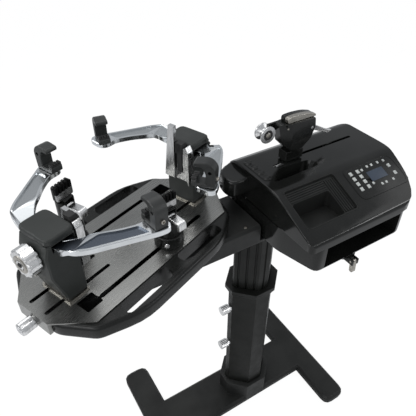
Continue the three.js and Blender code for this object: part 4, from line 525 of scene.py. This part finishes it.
for end in ("tip", "throat"):
    finish_of_node[f"{end}_lead_screw"] = ("silver", 0.6)
    finish_of_node[f"{end}_tower_core"] = ("steel", 0.6)
    finish_of_node[f"{end}_tower_cover"] = ("cover", 0.8)
    finish_of_node[f"{end}_tower_knob"] = ("silver" if end == "tip" else "charcoal", 0.8)
    finish_of_node[f"{end}_head_rest"] = ("silver", 0.8)
    finish_of_node[f"{end}_head_pad"] = ("rubber", 0.6)
    for side in ("near", "far"):
        # The arms' channels carry the paler painted light; the tip's near arm is set to the dark
        # painted shade below.
        finish_of_node[f"{end}_{side}_arm"] = ("arm_pale_painted_channel", 1.4)
        finish_of_node[f"{end}_{side}_claw"] = ("charcoal", 2.6)
        finish_of_node[f"{end}_{side}_claw_pad"] = ("rubber", 0.5)
for side in ("near", "far"):
    finish_of_node[f"{side}_clamp_base"] = ("moulded", 1)
    finish_of_node[f"{side}_clamp_post"] = ("moulded", 0.7)
    finish_of_node[f"{side}_clamp_jaw"] = (f"{side}_jaw", 0.6)
    finish_of_node[f"{side}_clamp_lever"] = ("silver", 0.8)
# The tip's near arm has its channel painted dark, as painted shade and dark reflection.
finish_of_node["tip_near_arm"] = ("near_arm", 1.4)
for name, (finish, edge_width) in finish_of_node.items():
    solid = nodes[name]
    solid.data.materials.clear()
    solid.data.materials.append(finishes[finish])
    soften(solid, edge_width * mm)
print("dressed", len(finish_of_node), "of", len(nodes))

# %% [markdown]
# The small fittings come next: screws, washers, bearing rings and caps. Their places are named
# the way the machine's maker would name them, along and across the deck from its pivot, or from
# the middle of the head. World coordinates would do, but they say nothing about what a screw
# sits on, and the deck stands turned.

# %% Places on the machine
joint = {entry["name"]: entry for entry in behaviour["joints"]}
up = Vector((0, 0, 1))
towards_operator = Vector((0, -1, 0))
along = Vector(joint["near_clamp_slide"]["axis"])
across = up.cross(along)
deck_pivot = Vector(joint["turntable_turn"]["pos_m"])
deck_pivot.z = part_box("deck_plate")[1][2]
head_middle = Vector((0, deck_pivot.y, deck_pivot.z))


def on_deck(t, y, z):
    return deck_pivot + mm * (t * along + y * across + z * up)


def on_head(x, y, z):
    return head_middle + mm * Vector((x, y, z))


def spot(place, outward):
    """A frame at a place whose Z axis points out of the face there."""
    return Matrix.Translation(place) @ outward.to_track_quat("Z", "Y").to_matrix().to_4x4()


print("deck level", round(deck_pivot.z, 4))

# %% [markdown]
# Every fitting is a turned part, so one helper makes them all: it spins a profile of radius and
# height pairs round the axis of its spot. A Screw modifier could do the same, but a spin in the
# mesh lets its poles be closed and its normals be turned outwards at once.

# %% Turned fittings
touching = 1e-6
screw_sunk = 0.3                       # in mm, how far a head reaches into its face
lip_share, socket_mouth_share, socket_foot_share = 0.18, 0.52, 0.46      # of a head's radius
socket_wall_share, socket_floor_share = 0.35, 0.3                        # of its height


def turned(name, here, profile, node, finish, steps=32):
    """A new piece, spun from pairs in mm, that rides with a node's body."""
    shape = bmesh.new()
    points = [shape.verts.new(here @ Vector((radius * mm, 0, height * mm)))
              for radius, height in profile]
    edges = [shape.edges.new(pair) for pair in zip(points, points[1:])]
    bmesh.ops.spin(shape, geom=points + edges, cent=here.translation, axis=here.to_3x3() @ up,
                   dvec=(0, 0, 0), angle=math.tau, steps=steps, use_merge=True)
    bmesh.ops.remove_doubles(shape, verts=shape.verts, dist=touching)
    bmesh.ops.recalc_face_normals(shape, faces=shape.faces)
    mesh = bpy.data.meshes.new(name)
    shape.to_mesh(mesh)
    shape.free()
    piece = bpy.data.objects.new(name, mesh)
    scene.collection.objects.link(piece)
    mesh.materials.append(finishes[finish])
    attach(piece, body_of_node[node])
    soften(piece, 0)


def screw_profile(radius, height):
    """A cap screw's head with a round socket, standing a hair inside its face."""
    lip = radius * lip_share
    return [(0, -screw_sunk), (radius, -screw_sunk), (radius, height - lip),
            (radius - lip, height), (radius * socket_mouth_share, height),
            (radius * socket_foot_share, height * socket_wall_share),
            (0, height * socket_floor_share)]


# %% [markdown]
# Every screw is the same spun profile in its own size, so one loop sets them all. They could be
# instances of one mesh; separate pieces let each ride with its own body. A screw on a head rest
# leaves its face along the deck, one on a flat top leaves it upwards.

# %% Screws
rest_face = 161.2 - 3.4                # from the pivot to the tip rest's inner face
throat_shift = 24                      # the throat tower stands this much further out
rest_screw_places = ((34, 106), (34, 76), (-20, 104))      # towards the operator, and height
screws = [
    ("head_casting_screw", on_head(-100, -65, -50), up, 4.2, 3.2, "head_casting"),
    ("deck_index_screw", on_deck(-18, -16, 0), up, 3.4, 1.0, "deck_plate"),
    ("gripper_front_screw", on_head(46, -20, 168), towards_operator, 2.6, 1.2, "gripper_body"),
]
for end, sign, face in (("tip", -1, rest_face), ("throat", 1, rest_face + throat_shift)):
    for count, (near_by, level) in enumerate(rest_screw_places):
        screws.append((f"{end}_rest_screw_{count + 1}", on_deck(face * sign, -near_by, level),
                       -sign * along, 3.6, 2.6, f"{end}_head_rest"))
for name, place, outward, radius, height, node in screws:
    turned(name, spot(place, outward), screw_profile(radius, height), node, "steel")
print("screws", len(screws))

# %% [markdown]
# The four claws each take a clamping screw low on their outer face. Its place turns with the
# claw about the swivel pin, so it is worked out from the pin, the claw's angle and its reach.

# %% Claw screws
claw_face_reach = 24.2 * mm
claw_screw_level = 24 * mm
claw_turns = {"tip_near": -14, "tip_far": 0, "throat_near": 20, "throat_far": -30}
for name, degrees in claw_turns.items():
    pin = Vector(joint[f"{name}_claw_swivel"]["pos_m"])
    side = -1 if name.endswith("near") else 1
    outward = Matrix.Rotation(math.radians(degrees), 3, "Z") @ (side * across)
    place = pin + outward * claw_face_reach + up * claw_screw_level
    turned(f"{name}_claw_screw", spot(place, outward), screw_profile(radius=4.5, height=4),
           f"{name}_claw", "steel")
print("claw screws", len(claw_turns))

# %% [markdown]
# The line pulley turns on a ball bearing: a dark seal shows in its bore, with the head of the
# bolt in front of it. The pulley could be turned in one piece with them, but the bolt belongs
# to the gripper and stays still.

# %% Pulley bearing and bolt
pulley_half_width = 13.7 * mm
pulley_place = Vector(joint["line_pulley_spin"]["pos_m"]) + pulley_half_width * towards_operator
pulley_spot = spot(pulley_place, towards_operator)
seal_profile = [(7.2, -2), (13, -2), (13, 0.5), (12.2, 0.9), (8, 0.9), (7.2, 0.5), (7.2, -2)]
bolt_profile = [(0, -1), (6.4, -1), (6.4, 1.2), (5.4, 2.2), (2.6, 2.4), (2.2, 1.2), (0, 1.2)]
turned("line_pulley_seal", pulley_spot, seal_profile, "gripper_pulley", "rubber", steps=40)
turned("line_pulley_bolt", pulley_spot, bolt_profile, "gripper_body", "steel", steps=24)
print("pulley bearing and bolt")

# %% [markdown]
# The tip tower's knob is a fluted casting with a washer and a shallow six-sided socket in the
# middle of its face, coloured near-black as painted shade for the socket's hollow. The socket is
# spun in six steps, which is the simplest hexagon. Each lead screw's knob gets a turned end face.

# %% Knob faces
knob_base, knob_length, knob_level = 231.8, 27, 122
screw_end, screw_level = 303, -21.5
knob_spot = spot(on_deck(-(knob_base + knob_length), 0, knob_level), -along)
washer_profile = [(11.5, -0.4), (19, -0.4), (19, 1.0), (18, 1.6), (12.4, 1.6), (11.5, 1.2),
                  (11.5, -0.4)]
socket_profile = [(0, 1), (5.6, 1), (5.6, 2.6), (4.6, 3.2), (2.4, 3.2), (2, 2.2), (0, 2.2)]
face_profile = [(0, -0.4), (10.4, -0.4), (10.4, 0.5), (9.2, 1.1), (4, 1.1), (3.2, 0.3),
                (0, 0.3)]
turned("tip_knob_washer", knob_spot, washer_profile, "tip_tower_knob", "steel", steps=40)
# The socket's near-black colour is painted shade for its hollow.
turned("tip_knob_socket_painted_shade", knob_spot, socket_profile, "tip_tower_knob", "rubber", steps=6)
for end, sign in (("tip", -1), ("throat", 1)):
    here = spot(on_deck(screw_end * sign, 0, screw_level), sign * along)
    turned(f"{end}_lead_screw_face", here, face_profile, f"{end}_lead_screw", "chrome", steps=40)
print("knob faces", 4)

# %% [markdown]
# The four dome buttons sit in shallow rings of the case's own gloss. They could be one mesh, but a
# loop that spins one ring for each dome keeps them apart, and their places follow the solid strip.

# %% Button rings
dome_count = 4
dome_height = 2.2 * mm
strip_low, strip_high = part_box("button_strip")
dome_radius = (strip_high[0] - strip_low[0]) / 2
dome_pitch = (strip_high[1] - strip_low[1] - 2 * dome_radius) / (dome_count - 1)
dome_x = (strip_low[0] + strip_high[0]) / 2
ring_profile = [(9.6, -0.3), (11.2, -0.3), (11.2, 0.3), (10.8, 0.6), (10, 0.6), (9.6, 0.3),
                (9.6, -0.3)]
for count in range(dome_count):
    dome_y = strip_high[1] - dome_radius - count * dome_pitch
    place = Vector((dome_x, dome_y, strip_high[2] - dome_height))
    turned(f"button_ring_{count + 1}", spot(place, up), ring_profile, "button_strip", "gloss",
           steps=40)
print("rings", dome_count, "pitch", round(dome_pitch, 4))

# %% [markdown]
# Each string clamp's base has a bright release button on its side. The solid has a plain stud
# there, and the button is a thin cap that just covers it, with a soft crowned face.

# %% Clamp buttons
button_turn = math.radians(-145)
stud_reach, stud_level = 33.6 * mm, 15 * mm
outward = math.cos(button_turn) * along + math.sin(button_turn) * across
cap_profile = [(0, 2.8), (6.1, 2.8), (6.1, 3.4), (5.2, 4.2), (2.5, 4.6), (0, 4.7)]
for side in ("near", "far"):
    centre = Vector(joint[f"{side}_clamp_swivel"]["pos_m"])
    centre.z = deck_pivot.z + stud_level
    turned(f"{side}_clamp_button", spot(centre + outward * stud_reach, outward), cap_profile,
           f"{side}_clamp_base", "chrome")
print("clamp buttons", 2)
